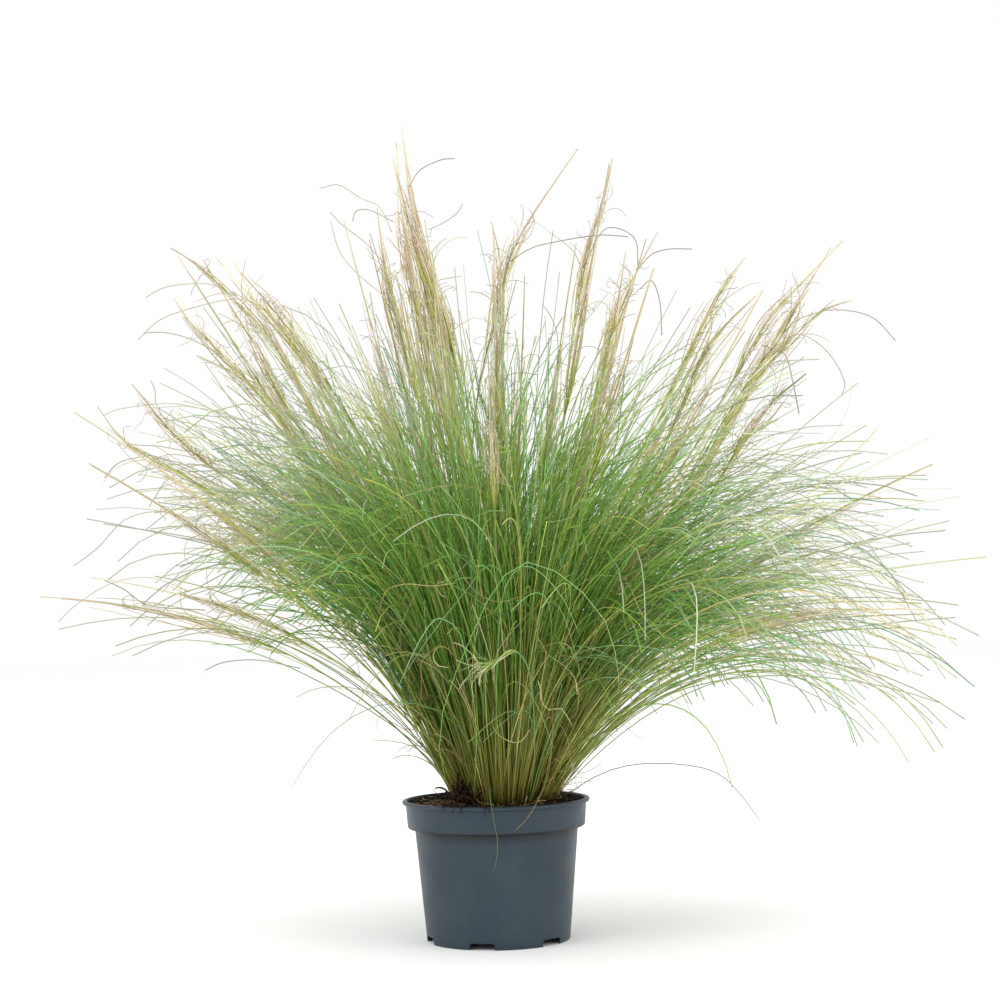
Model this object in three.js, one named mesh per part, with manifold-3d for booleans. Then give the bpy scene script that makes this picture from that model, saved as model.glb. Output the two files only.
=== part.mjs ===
// Mexican feather grass, a fine-leaved clump grass in flower, growing in a round plastic nursery pot.
// Millimetres, +Z up. The origin is the centre of the pot's foot circle, on the surface it stands on.
//
// The clump is laid out in upright wedges round the crown's axis. Twelve leaf tufts fill the broad wedges and
// the flowering stems rise in the narrow wedges between them, so that no piece passes through another.

import * as THREE from "three";
import { mergeVertices } from "three/addons/utils/BufferGeometryUtils.js";
import Module from "manifold-3d";

const wasm = await Module();
wasm.setup();

const { clamp, degToRad, lerp, smoothstep } = THREE.MathUtils;
const GAP = 0.3; // clearance left between pieces that touch

// ---- Pot -------------------------------------------------------------------------------------------------

const POT_HEIGHT = 126;
const LIP_RADIUS = 85;
const LIP_HEIGHT = 3.6;
const LIP_ROUND = 1.2;
const COLLAR_TOP_RADIUS = 82;
const COLLAR_BOTTOM_RADIUS = 80.4;
const COLLAR_HEIGHT = 25; // from the lip's top to the ledge under the collar
const COLLAR_ROUND = 2.4;
const BODY_TOP_RADIUS = 73.8;
const FOOT_RADIUS = 64.6;
const WALL = 1.3;
const BASE_RISE = 5; // how far the base plate stands above the feet
const FEET = 6;
const NOTCH_ANGLE = degToRad(20);
const NOTCH_HEIGHT = 6;
const NOTCH_DEPTH = 13; // how far a drain notch reaches in from the wall
const FIRST_NOTCH = degToRad(-103);
const ROUND_STEPS = 36; // facets round the pot and the soil

const LEDGE_Z = POT_HEIGHT - COLLAR_HEIGHT;
const FLOOR_Z = BASE_RISE + WALL;

// ---- Soil ------------------------------------------------------------------------------------------------

const SOIL_EDGE_Z = POT_HEIGHT - 4; // soil level at the pot's wall
const SOIL_CROWN_Z = POT_HEIGHT - 1; // and where it meets the crown
const SOIL_ROUGHNESS = 1.5;
const SOIL_RINGS = 5;

// ---- Crown -----------------------------------------------------------------------------------------------

const CROWN_X = 8; // the clump stands a little off the pot's axis
const CROWN_RADIUS = 48;
const CROWN_DEPTH = 14; // how far the crown is sunk in the soil
const CROWN_HOLLOW = 9; // radius left free inside the ring of tufts for the middle one
const CROWN_TOP_Z = SOIL_CROWN_Z + 6;
const SOCKET_RADIUS = CROWN_RADIUS + GAP;
const SOCKET_Z = SOIL_CROWN_Z - CROWN_DEPTH;
const CROWN_Z = SOCKET_Z + GAP;

const WEDGES = 12;
const WEDGE_PITCH = (2 * Math.PI) / WEDGES;
const LEAF_HALF_ANGLE = degToRad(10);
const STEM_HALF_ANGLE = degToRad(5);

// ---- Leaf blades -----------------------------------------------------------------------------------------

const BLADE_SIDES = 3;
const BLADE_FOOT_RADIUS = 0.8;
const BLADE_TIP_RADIUS = 0.42;
const BLADES_PER_TUFT = 21;
const BLADE_FOOT_LEAN = degToRad(27); // of the outermost blades, from the vertical; the innermost stand up
const SPREAD_RIGHT = 0.25; // share by which the foot leans more on the +X side
const BLADE_BEND = [degToRad(42), degToRad(38)]; // how much the innermost and outermost bend over to the tip
const BLADE_BEND_SPREAD = degToRad(10);
const BLADE_DROOP = degToRad(40); // added to the bend on the +X side, which hangs lower
const FRONT_UPRIGHT = degToRad(22); // and taken from it on the -Y side, where the blades stand up more
const BEND_IN_CHORD = 0.38; // share of the bend by which the line from foot to tip leans more than the foot
const BLADE_LENGTH = [310, 440];
const OUTERMOST_LONGER = 100;
const BLADE_REACH = 408; // the furthest that a blade's tip gets from the pot's axis
const SHALLOWER = 0.05; // share by which it gets less far to the front and the back
const SWEEPERS = [2, 6]; // blades of a tuft that sweep far out and low: on most sides, and on the +X side
const SWEEP_FOOT_LEAN = degToRad(40);
const SWEEP_BEND = degToRad(66);
const SWEEP_IN_CHORD = 0.5;
const SWEEP_LENGTH = [340, 440];
const ROOT_SINK = 5; // how far a blade's foot is sunk in the crown
const CLEARANCE = 0.2; // from a blade's side to the edge of its wedge

const MIDDLE_RADIUS = 7;
const MIDDLE_BLADES = 10;
const MIDDLE_LENGTH = [340, 440];
const MIDDLE_FEET = [2.5, 5]; // distance from the crown's axis
const MIDDLE_REACH = [9, 24];

// ---- Flowering stems -------------------------------------------------------------------------------------

const CULM_FOOT_RADIUS = 0.9;
const CULM_TIP_RADIUS = 0.45;
const PANICLE_START = 0.64; // share of the stem below the panicle
const PANICLE_RADIUS = 1.7;
const STEM_SEGMENTS = 7;
const AWNS = 5;
const LAST_AWN = 0.91; // share of the stem at which the highest awn leaves it
const AWN_LENGTH = 56;
const AWN_SPREAD = degToRad(9);
const AWN_RADIUS = 0.5;
const GOLDEN_TURN = 2.4; // from one awn to the next round the stem, in radians
const STEM_FEET = [15, 23, 31]; // from the crown's axis to a wedge's inner, middle and outer stem

// One row for each narrow wedge, counted from +X towards +Y. A row gives its inner, middle and outer stem as
// [reach from the crown's axis, height of the tip, arch in degrees]; a missing stem is null.
const STEMS = [
  [[142, 626, 6], [316, 624, 5], [400, 420, 20]],
  [[92, 640, 5], [262, 596, 8], [392, 330, 30]],
  [[62, 604, 4], [250, 540, 12], null],
  [[60, 624, 5], [190, 580, 8], [392, 372, 24]],
  [[130, 646, 4], [270, 556, 12], null],
  [[168, 668, 3], [262, 610, 6], [392, 466, 18]],
  [[84, 742, 3], [290, 626, 6], [407, 312, 28]],
  [[104, 698, 2], [258, 598, 6], [400, 462, 16]],
  [[120, 636, 4], [240, 545, 12], null],
  [[60, 636, 4], [200, 560, 10], [300, 480, 16]],
  [[192, 668, 5], [262, 556, 9], null],
  [[146, 594, 5], [264, 552, 8], [398, 286, 34]],
];

// ---- Random draws ----------------------------------------------------------------------------------------

// The same seed gives the same plant each time.
let seed = 20771;
function draw(low = 0, high = 1) {
  seed = (seed * 16807) % 2147483647;
  return low + ((high - low) * seed) / 2147483647;
}

// ---- Solids ----------------------------------------------------------------------------------------------

function solidOf(geometry) {
  const bare = new THREE.BufferGeometry();
  bare.setAttribute("position", geometry.getAttribute("position"));
  bare.setIndex(geometry.index);
  const merged = mergeVertices(bare, 1e-4);
  return new wasm.Manifold(
    new wasm.Mesh({
      numProp: 3,
      vertProperties: merged.getAttribute("position").array,
      triVerts: new Uint32Array(merged.index.array),
    }),
  );
}

function geometryOf(solid) {
  const mesh = solid.getMesh();
  const geometry = new THREE.BufferGeometry();
  geometry.setAttribute("position", new THREE.BufferAttribute(mesh.vertProperties, 3));
  geometry.setIndex(new THREE.BufferAttribute(mesh.triVerts, 1));
  geometry.computeVertexNormals();
  return geometry;
}

const fuse = (pieces) => pieces.map(solidOf).reduce((whole, piece) => whole.add(piece));

// ---- Routes ----------------------------------------------------------------------------------------------

// A route that stays inside one wedge of the crown. In the wedge's upright middle plane it is a cubic Bezier
// curve that leaves the foot and meets the tip at the leans given, counted from the vertical. The handles say
// how much of its length keeps to each of them. Sway carries it sideways by a share of the room that the
// wedge has at that distance from the axis.
class WedgeRoute extends THREE.Curve {
  constructor({ azimuth, halfAngle, margin, foot, tip, leans, handles, sway }) {
    super();
    const chord = tip.distanceTo(foot);
    const [near, far] = leans.map((lean) => new THREE.Vector2(Math.sin(lean), Math.cos(lean)));
    this.profile = new THREE.CubicBezierCurve(
      foot,
      foot.clone().addScaledVector(near, handles[0] * chord),
      tip.clone().addScaledVector(far, -handles[1] * chord),
      tip,
    );
    this.outward = new THREE.Vector3(Math.cos(azimuth), Math.sin(azimuth), 0);
    this.side = new THREE.Vector3(-Math.sin(azimuth), Math.cos(azimuth), 0);
    this.spread = Math.tan(halfAngle);
    this.margin = margin;
    this.sway = sway;
  }

  // The sideways room on each side of the middle plane, at a distance from the crown's axis.
  room(distance) {
    return Math.max(0, distance * this.spread - this.margin);
  }

  getPoint(t, target = new THREE.Vector3()) {
    const flat = this.profile.getPoint(t);
    const aside = lerp(this.sway[0], this.sway[1], t) * this.room(flat.x);
    return target
      .set(CROWN_X, 0, flat.y)
      .addScaledVector(this.outward, flat.x)
      .addScaledVector(this.side, aside);
  }
}

// A slim cylinder whose rings are carried along a route. widen gives its girth at each share of the way.
function alongRoute(route, segments, radiusAtFoot, radiusAtTip, widen = () => 1) {
  const geometry = new THREE.CylinderGeometry(radiusAtTip, radiusAtFoot, 1, BLADE_SIDES, segments);
  const position = geometry.getAttribute("position");
  const local = new THREE.Vector3();
  const across = new THREE.Vector3();
  for (let i = 0; i < position.count; i++) {
    local.fromBufferAttribute(position, i);
    const share = clamp(local.y + 0.5, 0, 1);
    const girth = widen(share);
    across.crossVectors(route.side, route.getTangent(share));
    const point = route
      .getPoint(share)
      .addScaledVector(route.side, local.x * girth)
      .addScaledVector(across, local.z * girth);
    position.setXYZ(i, point.x, point.y, point.z);
  }
  return geometry;
}

// ---- Pot -------------------------------------------------------------------------------------------------

function potProfile() {
  const inside = (radius) => radius - WALL;
  const outline = [
    [0, BASE_RISE],
    [inside(FOOT_RADIUS), BASE_RISE],
    [inside(FOOT_RADIUS), 0],
    [FOOT_RADIUS, 0],
    [BODY_TOP_RADIUS, LEDGE_Z],
    [COLLAR_BOTTOM_RADIUS - COLLAR_ROUND, LEDGE_Z],
    [COLLAR_BOTTOM_RADIUS, LEDGE_Z + COLLAR_ROUND],
    [COLLAR_TOP_RADIUS, POT_HEIGHT - LIP_HEIGHT],
    [LIP_RADIUS - LIP_ROUND / 2, POT_HEIGHT - LIP_HEIGHT],
    [LIP_RADIUS, POT_HEIGHT - LIP_HEIGHT / 2],
    [LIP_RADIUS - LIP_ROUND, POT_HEIGHT],
    [COLLAR_TOP_RADIUS, POT_HEIGHT],
    [inside(COLLAR_TOP_RADIUS), POT_HEIGHT - LIP_ROUND],
    [inside(COLLAR_BOTTOM_RADIUS), LEDGE_Z + COLLAR_ROUND],
    [inside(COLLAR_BOTTOM_RADIUS) - COLLAR_ROUND, LEDGE_Z + WALL],
    [inside(BODY_TOP_RADIUS), LEDGE_Z + WALL],
    [inside(FOOT_RADIUS), FLOOR_Z],
    [0, FLOOR_Z],
  ];
  return outline.map(([radius, z]) => new THREE.Vector2(radius, z));
}

// A ring sector extruded upwards from a height.
function ringSector(inner, outer, from, to, low, high, steps) {
  const shape = new THREE.Shape();
  shape.absarc(0, 0, outer, from, to, false);
  shape.absarc(0, 0, inner, to, from, true);
  const sector = new THREE.ExtrudeGeometry(shape, {
    depth: high - low,
    bevelEnabled: false,
    curveSegments: steps,
  });
  return sector.translate(0, 0, low);
}

function potSolid() {
  const lathe = new THREE.LatheGeometry(potProfile(), ROUND_STEPS);
  let pot = solidOf(lathe.rotateX(Math.PI / 2));
  for (let i = 0; i < FEET; i++) {
    const middle = FIRST_NOTCH + (i * 2 * Math.PI) / FEET;
    const notch = ringSector(
      FOOT_RADIUS - NOTCH_DEPTH,
      FOOT_RADIUS + NOTCH_DEPTH,
      middle - NOTCH_ANGLE / 2,
      middle + NOTCH_ANGLE / 2,
      -1,
      NOTCH_HEIGHT,
      4,
    );
    pot = pot.subtract(solidOf(notch));
  }
  return pot;
}

// ---- Soil ------------------------------------------------------------------------------------------------

// Lumps of compost: a sum of waves that never line up.
function soilRelief(x, y) {
  const broad = Math.sin(x * 0.31 + 1.3) * Math.cos(y * 0.27 - 0.4);
  const fine = Math.sin(x * 0.73 - y * 0.61 + 2.1);
  return SOIL_ROUGHNESS * lerp(broad, fine, 0.4);
}

// The soil is a lathe whose middle is the crown's hollow. Its rings run from the hollow's floor up, out over
// the surface and down the inside of the pot. The hollow is then moved to where the clump stands.
function soilSolid() {
  const inside = (radius) => radius - WALL - GAP;
  const ledgeTop = LEDGE_Z + WALL + GAP;
  const edge = inside(lerp(COLLAR_BOTTOM_RADIUS, COLLAR_TOP_RADIUS, (SOIL_EDGE_Z - LEDGE_Z) / COLLAR_HEIGHT));
  const outline = [
    [0, SOCKET_Z],
    [SOCKET_RADIUS, SOCKET_Z],
  ];
  for (let i = 0; i <= SOIL_RINGS; i++) {
    const share = i / SOIL_RINGS;
    outline.push([lerp(SOCKET_RADIUS, edge - GAP, share), lerp(SOIL_CROWN_Z, SOIL_EDGE_Z, share)]);
  }
  outline.push(
    [inside(COLLAR_BOTTOM_RADIUS) - GAP, ledgeTop + COLLAR_ROUND],
    [inside(COLLAR_BOTTOM_RADIUS) - COLLAR_ROUND - GAP, ledgeTop],
    [inside(BODY_TOP_RADIUS), ledgeTop],
    [inside(FOOT_RADIUS), FLOOR_Z + GAP],
    [0, FLOOR_Z + GAP],
  );
  const points = outline.map(([radius, z]) => new THREE.Vector2(radius, z)).reverse();
  const soil = new THREE.LatheGeometry(points, ROUND_STEPS).rotateX(Math.PI / 2);
  const position = soil.getAttribute("position");
  for (let i = 0; i < position.count; i++) {
    const x = position.getX(i);
    const y = position.getY(i);
    const z = position.getZ(i);
    const nearMiddle = z > SOCKET_Z - GAP ? 1 - smoothstep(Math.hypot(x, y), CROWN_RADIUS, edge - GAP) : 0;
    const relief = z > SOIL_EDGE_Z - GAP ? soilRelief(x, y) : 0;
    position.setXYZ(i, x + CROWN_X * nearMiddle, y, z + relief);
  }
  return solidOf(soil);
}

// ---- Leaf tufts ------------------------------------------------------------------------------------------

// How much more a blade at this azimuth bends over: the +X side hangs lower and the -Y side stands up.
function droop(azimuth) {
  return BLADE_DROOP * Math.max(0, Math.cos(azimuth)) - FRONT_UPRIGHT * Math.max(0, -Math.sin(azimuth)) ** 2;
}

// place runs from 0 for the innermost blade of a tuft to 1 for the outermost.
function bladeRoute(azimuth, place) {
  const footDistance = lerp(CROWN_HOLLOW + 4, CROWN_RADIUS - 3, place);
  const near = BLADE_FOOT_LEAN * place ** 0.9 * (1 + SPREAD_RIGHT * Math.max(0, Math.cos(azimuth)));
  const bend = lerp(...BLADE_BEND, place) + droop(azimuth) * place + draw(-1, 1) * BLADE_BEND_SPREAD;
  const lean = near + BEND_IN_CHORD * bend;
  const reach = BLADE_REACH * (1 - SHALLOWER * Math.sin(azimuth) ** 2) - CROWN_X * Math.cos(azimuth);
  const furthest = (reach - footDistance) / Math.sin(lean);
  const length = Math.min(lerp(...BLADE_LENGTH, draw() ** 1.3) + OUTERMOST_LONGER * place, furthest);
  const side = draw(-1, 1);
  return new WedgeRoute({
    azimuth,
    halfAngle: LEAF_HALF_ANGLE,
    margin: BLADE_FOOT_RADIUS + CLEARANCE,
    foot: new THREE.Vector2(footDistance, CROWN_TOP_Z - ROOT_SINK),
    tip: new THREE.Vector2(footDistance + length * Math.sin(lean), CROWN_TOP_Z + length * Math.cos(lean)),
    leans: [near, near + bend],
    handles: [0.46, 0.26],
    sway: [side, clamp(side + draw(-0.9, 0.9), -1, 1)],
  });
}

// A blade from the crown's edge that arches out low, to the clump's furthest edge.
function sweepingRoute(azimuth) {
  const footDistance = CROWN_RADIUS - draw(2, 8);
  const near = SWEEP_FOOT_LEAN + draw(-1, 1) * degToRad(3);
  const bend = SWEEP_BEND + draw(-1, 1) * BLADE_BEND_SPREAD;
  const lean = near + SWEEP_IN_CHORD * bend;
  const reach = BLADE_REACH * (1 - SHALLOWER * Math.sin(azimuth) ** 2) - CROWN_X * Math.cos(azimuth);
  const furthest = (reach - footDistance) / Math.sin(lean);
  const length = Math.min(lerp(...SWEEP_LENGTH, draw()), furthest);
  const side = draw(-1, 1);
  return new WedgeRoute({
    azimuth,
    halfAngle: LEAF_HALF_ANGLE,
    margin: BLADE_FOOT_RADIUS + CLEARANCE,
    foot: new THREE.Vector2(footDistance, CROWN_TOP_Z - ROOT_SINK),
    tip: new THREE.Vector2(footDistance + length * Math.sin(lean), CROWN_TOP_Z + length * Math.cos(lean)),
    leans: [near, near + bend],
    handles: [0.4, 0.34],
    sway: [side, clamp(side + draw(-0.9, 0.9), -1, 1)],
  });
}

// A slice of the crown, the short stock that a tuft's blades grow from.
function crownSlice(azimuth) {
  const from = azimuth - LEAF_HALF_ANGLE;
  const to = azimuth + LEAF_HALF_ANGLE;
  const slice = ringSector(CROWN_HOLLOW, CROWN_RADIUS - GAP, from, to, CROWN_Z, CROWN_TOP_Z, 3);
  return slice.translate(CROWN_X, 0, 0);
}

function leafTuft(azimuth) {
  const pieces = [crownSlice(azimuth)];
  const sweepers = Math.round(lerp(...SWEEPERS, Math.max(0, Math.cos(azimuth)) ** 2));
  const standing = BLADES_PER_TUFT - sweepers;
  for (let i = 0; i < standing; i++) {
    const place = (i + draw(0.1, 0.9)) / standing;
    const segments = place > 0.4 ? 4 : 3;
    pieces.push(alongRoute(bladeRoute(azimuth, place), segments, BLADE_FOOT_RADIUS, BLADE_TIP_RADIUS));
  }
  for (let i = 0; i < sweepers; i++) {
    pieces.push(alongRoute(sweepingRoute(azimuth), 5, BLADE_FOOT_RADIUS, BLADE_TIP_RADIUS));
  }
  return fuse(pieces);
}

// The upright blades on the crown's axis, which stay in a slim cone.
function middleTuft() {
  const height = CROWN_TOP_Z - CROWN_Z;
  const stock = new THREE.CylinderGeometry(MIDDLE_RADIUS, MIDDLE_RADIUS, height, 9).rotateX(Math.PI / 2);
  const pieces = [stock.translate(CROWN_X, 0, CROWN_Z + height / 2)];
  for (let i = 0; i < MIDDLE_BLADES; i++) {
    const route = new WedgeRoute({
      azimuth: (i * 2 * Math.PI) / MIDDLE_BLADES + draw(-0.2, 0.2),
      halfAngle: 0,
      margin: 0,
      foot: new THREE.Vector2(draw(...MIDDLE_FEET), CROWN_TOP_Z - ROOT_SINK),
      tip: new THREE.Vector2(draw(...MIDDLE_REACH), CROWN_TOP_Z + draw(...MIDDLE_LENGTH)),
      leans: [0, degToRad(4)],
      handles: [0.36, 0.36],
      sway: [0, 0],
    });
    pieces.push(alongRoute(route, 3, BLADE_FOOT_RADIUS, BLADE_TIP_RADIUS));
  }
  return fuse(pieces);
}

// ---- Flowering stems -------------------------------------------------------------------------------------

// The middle of the faceted stem at a share of its length, which lies on the line between two rings.
function insideStem(route, share) {
  const below = Math.floor(share * STEM_SEGMENTS) / STEM_SEGMENTS;
  const above = Math.min(1, below + 1 / STEM_SEGMENTS);
  return route.getPoint(below).lerp(route.getPoint(above), (share - below) * STEM_SEGMENTS);
}

// A straight awn that leaves the stem at a share of its length and stands a little off it.
function awn(route, share, turn) {
  const start = insideStem(route, share);
  const tangent = route.getTangent(share);
  const across = new THREE.Vector3().crossVectors(route.side, tangent);
  const length = AWN_LENGTH * draw(0.7, 1.1);
  const off = length * Math.sin(AWN_SPREAD) * draw(0.7, 1.4);
  const tip = start
    .clone()
    .addScaledVector(tangent, length)
    .addScaledVector(across, off * Math.cos(turn));
  const distance = tip.clone().sub(new THREE.Vector3(CROWN_X, 0, 0)).dot(route.outward);
  const room = Math.min(off, route.room(distance));
  tip.addScaledVector(route.side, room * Math.sin(turn));
  const line = new THREE.LineCurve3(start, tip);
  line.side = route.side;
  return alongRoute(line, 1, AWN_RADIUS, AWN_RADIUS * 0.85);
}

function floweringStem(azimuth, rank, [reach, height, arch]) {
  const foot = new THREE.Vector2(STEM_FEET[rank], CROWN_Z);
  const tip = new THREE.Vector2(reach, height);
  const lean = Math.atan2(tip.x - foot.x, tip.y - foot.y);
  const route = new WedgeRoute({
    azimuth,
    halfAngle: STEM_HALF_ANGLE,
    margin: PANICLE_RADIUS,
    foot,
    tip,
    leans: [lean - degToRad(arch), lean + degToRad(arch)],
    handles: [0.36, 0.36],
    sway: [0, draw(-0.5, 0.5)],
  });
  const swell = PANICLE_RADIUS / CULM_FOOT_RADIUS;
  const girth = (share) => {
    const up = clamp((share - PANICLE_START) / (1 - PANICLE_START), 0, 1);
    return 1 + swell * Math.sin(Math.PI * up ** 0.6);
  };
  const pieces = [alongRoute(route, STEM_SEGMENTS, CULM_FOOT_RADIUS, CULM_TIP_RADIUS, girth)];
  for (let i = 0; i < AWNS; i++) {
    const share = lerp(PANICLE_START, LAST_AWN, i / (AWNS - 1));
    pieces.push(awn(route, share, i * GOLDEN_TURN + draw(-0.4, 0.4)));
  }
  return fuse(pieces);
}

// ---- The plant -------------------------------------------------------------------------------------------

const POT_PLASTIC = new THREE.MeshStandardMaterial({ color: 0x4a565f, roughness: 0.5, metalness: 0 });
const COMPOST = new THREE.MeshStandardMaterial({ color: 0x2b1f18, roughness: 0.95, metalness: 0 });
const LEAF = new THREE.MeshStandardMaterial({ color: 0x5f8a35, roughness: 0.6, metalness: 0 });
const STRAW = new THREE.MeshStandardMaterial({ color: 0xc8b780, roughness: 0.7, metalness: 0 });

const plant = new THREE.Group();

function addNode(name, solid, material) {
  const mesh = new THREE.Mesh(geometryOf(solid), material);
  mesh.name = name;
  plant.add(mesh);
}

const twoDigits = (number) => String(number).padStart(2, "0");

addNode("pot", potSolid(), POT_PLASTIC);
addNode("soil", soilSolid(), COMPOST);
addNode("tuft_middle", middleTuft(), LEAF);
for (let i = 0; i < WEDGES; i++) {
  addNode(`tuft_${twoDigits(i + 1)}`, leafTuft((i + 0.5) * WEDGE_PITCH), LEAF);
}
let stems = 0;
STEMS.forEach((row, wedge) => {
  row.forEach((stem, rank) => {
    if (!stem) return;
    stems += 1;
    addNode(`stem_${twoDigits(stems)}`, floweringStem(wedge * WEDGE_PITCH, rank, stem), STRAW);
  });
});

export default plant;
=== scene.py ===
# %% [markdown]
# # Mexican feather grass in a nursery pot
#
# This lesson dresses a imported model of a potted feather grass. The model holds the pot, the soil, the
# leaf tufts and the flowering stems at their real size and place. Here each of them gets its fine
# surface: a moulded pot, crumbly compost, thousands of hair-thin leaf blades, and panicles with silky
# awns.
#
# Everything is in metres, with +Z up. The plant's front faces -Y.

# %% Load the frame
import math

import bmesh
import bpy
import numpy as np
from mathutils import Matrix, Vector, noise


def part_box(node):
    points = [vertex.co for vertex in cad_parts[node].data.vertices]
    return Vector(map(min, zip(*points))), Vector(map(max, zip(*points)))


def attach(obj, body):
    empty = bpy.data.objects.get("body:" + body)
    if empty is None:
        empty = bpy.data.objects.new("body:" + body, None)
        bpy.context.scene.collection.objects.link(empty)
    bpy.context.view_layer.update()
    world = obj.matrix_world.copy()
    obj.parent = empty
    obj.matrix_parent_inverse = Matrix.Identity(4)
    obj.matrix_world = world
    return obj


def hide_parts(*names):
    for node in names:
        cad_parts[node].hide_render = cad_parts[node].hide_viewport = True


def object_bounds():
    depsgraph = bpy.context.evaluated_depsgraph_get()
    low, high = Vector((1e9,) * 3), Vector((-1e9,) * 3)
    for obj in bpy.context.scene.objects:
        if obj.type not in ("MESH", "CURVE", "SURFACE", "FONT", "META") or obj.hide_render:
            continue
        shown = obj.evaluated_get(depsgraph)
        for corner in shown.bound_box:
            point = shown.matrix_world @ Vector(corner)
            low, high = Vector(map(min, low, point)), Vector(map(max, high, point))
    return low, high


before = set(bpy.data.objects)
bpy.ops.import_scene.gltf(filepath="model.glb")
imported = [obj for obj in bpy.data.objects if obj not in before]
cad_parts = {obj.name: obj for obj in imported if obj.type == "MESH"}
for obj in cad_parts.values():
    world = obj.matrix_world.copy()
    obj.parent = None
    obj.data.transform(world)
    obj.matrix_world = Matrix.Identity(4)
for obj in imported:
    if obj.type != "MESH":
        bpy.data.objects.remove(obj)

CAD_BOX = [np.array(corner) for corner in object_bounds()]
print("the packed model spans", [tuple(round(float(v), 3) for v in corner) for corner in CAD_BOX])

# %% [markdown]
# ## Sizes that the rest is worked out from
#
# The pot's and the soil's own boxes give the rim, the soil level and the pot's height. The crown is where
# the leaf tufts meet, and the slim middle tuft tells how low it sits. Values that no box can tell, such
# as how wide the crown is or how thick a leaf blade, are named once.

# %% Driving sizes
MM = 0.001
POT_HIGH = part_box("pot")[1]
SOIL_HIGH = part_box("soil")[1]
MIDDLE_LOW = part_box("tuft_middle")[0]

LIP_RADIUS = POT_HIGH.x
POT_HEIGHT = POT_HIGH.z
LEDGE_Z = POT_HEIGHT - 25 * MM
SOIL_LEVEL = SOIL_HIGH.z - 1.5 * MM
CROWN_X = 6 * MM
CROWN_RADIUS = 41 * MM
CROWN_FLOOR = np.array([CROWN_X, 0, MIDDLE_LOW.z + 4 * MM])
CROWN_TOP = np.array([CROWN_X, 0, SOIL_LEVEL])
UP = np.array([[0.0, 0.0, 1.0]])
FULL_TURN = 2 * math.pi

rng = np.random.default_rng(411)
print("pot", round(POT_HEIGHT, 4), "m high, crown axis at x =", CROWN_X)

# %% [markdown]
# ## Small helpers for pieces
#
# A finished piece is a mesh object at the origin with its place in its mesh. It rides on the plant's one
# body, takes its finish as its one material, and hides the nodes of the imported model that it stands for.


# %% Helpers for pieces
def put_in_scene(name, data):
    """An object at the origin that shows a mesh, a light or a camera."""
    item = bpy.data.objects.new(name, data)
    bpy.context.scene.collection.objects.link(item)
    return item


def add_piece(name, mesh, material, nodes=()):
    """Makes a mesh a piece of the object that stands for the given nodes."""
    piece = put_in_scene(name, mesh)
    mesh.materials.clear()
    mesh.materials.append(material)
    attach(piece, "root")
    if nodes:
        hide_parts(*nodes)
    return piece


def mesh_from(bm, name, smooth=True):
    """Turns a finished bmesh into a mesh."""
    mesh = bpy.data.meshes.new(name)
    for face in bm.faces:
        face.smooth = smooth
    bm.to_mesh(mesh)
    bm.free()
    return mesh


def report(label, pieces):
    print(label, "faces:", sum(len(piece.data.polygons) for piece in pieces))


# %% [markdown]
# ## Node groups that several materials share
#
# Two effects come back in more than one finish. **Strand colour** runs along a blade or an awn, from foot
# to tip, and tints each strand a little differently. **Dust** lays pale specks and clouds over a base
# colour. Each is a node group with named inputs, built once and placed with its own values.


# %% Helpers for node trees
COLOUR, FLOAT, VECTOR = "NodeSocketColor", "NodeSocketFloat", "NodeSocketVector"


def add_node(tree, kind, inputs, **settings):
    """Adds a shader node, links or sets its inputs, and gives back its outputs."""
    node = tree.nodes.new("ShaderNode" + kind)
    for label, value in settings.items():
        setattr(node, label, value)
    for label, value in inputs.items():
        if isinstance(value, bpy.types.NodeSocket):
            tree.links.new(value, node.inputs[label])
        else:
            node.inputs[label].default_value = value
    return node.outputs


def new_group(name, inputs):
    """A node group that makes a colour: its tree, what it is given, and where its colour goes."""
    group = bpy.data.node_groups.new(name, "ShaderNodeTree")
    for label, kind in inputs.items():
        group.interface.new_socket(label, in_out="INPUT", socket_type=kind)
    group.interface.new_socket("Colour", in_out="OUTPUT", socket_type=COLOUR)
    given = group.nodes.new("NodeGroupInput").outputs
    return group, given, group.nodes.new("NodeGroupOutput").inputs["Colour"]


def mix_colour(tree, factor, first, second):
    return add_node(tree, "Mix", {0: factor, 6: first, 7: second}, data_type="RGBA")[2]


def maths(tree, operation, first, second=0.0):
    return add_node(tree, "Math", {0: first, 1: second}, operation=operation)[0]


def map_range(tree, value, low, high, to_low=0.0, to_high=1.0):
    """Spreads a value from one range to another, and stops at its ends."""
    ends = {"From Min": low, "From Max": high, "To Min": to_low, "To Max": to_high}
    return add_node(tree, "MapRange", {"Value": value, **ends})["Result"]


def noise_at(tree, place, scale, detail, roughness=0.55):
    values = {"Vector": place, "Scale": scale, "Detail": detail, "Roughness": roughness}
    return add_node(tree, "TexNoise", values)["Fac"]


def srgb(red, green, blue):
    """The linear colour of a swatch whose values run from 0 to 255."""
    share = np.array([red, green, blue]) / 255
    linear = np.where(share <= 0.04045, share / 12.92, ((share + 0.055) / 1.055) ** 2.4)
    return (*linear.tolist(), 1.0)


# %% The strand colour group
SHADES = ("Foot", "Lower", "Upper", "Tip", "Cool", "Warm")


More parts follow.
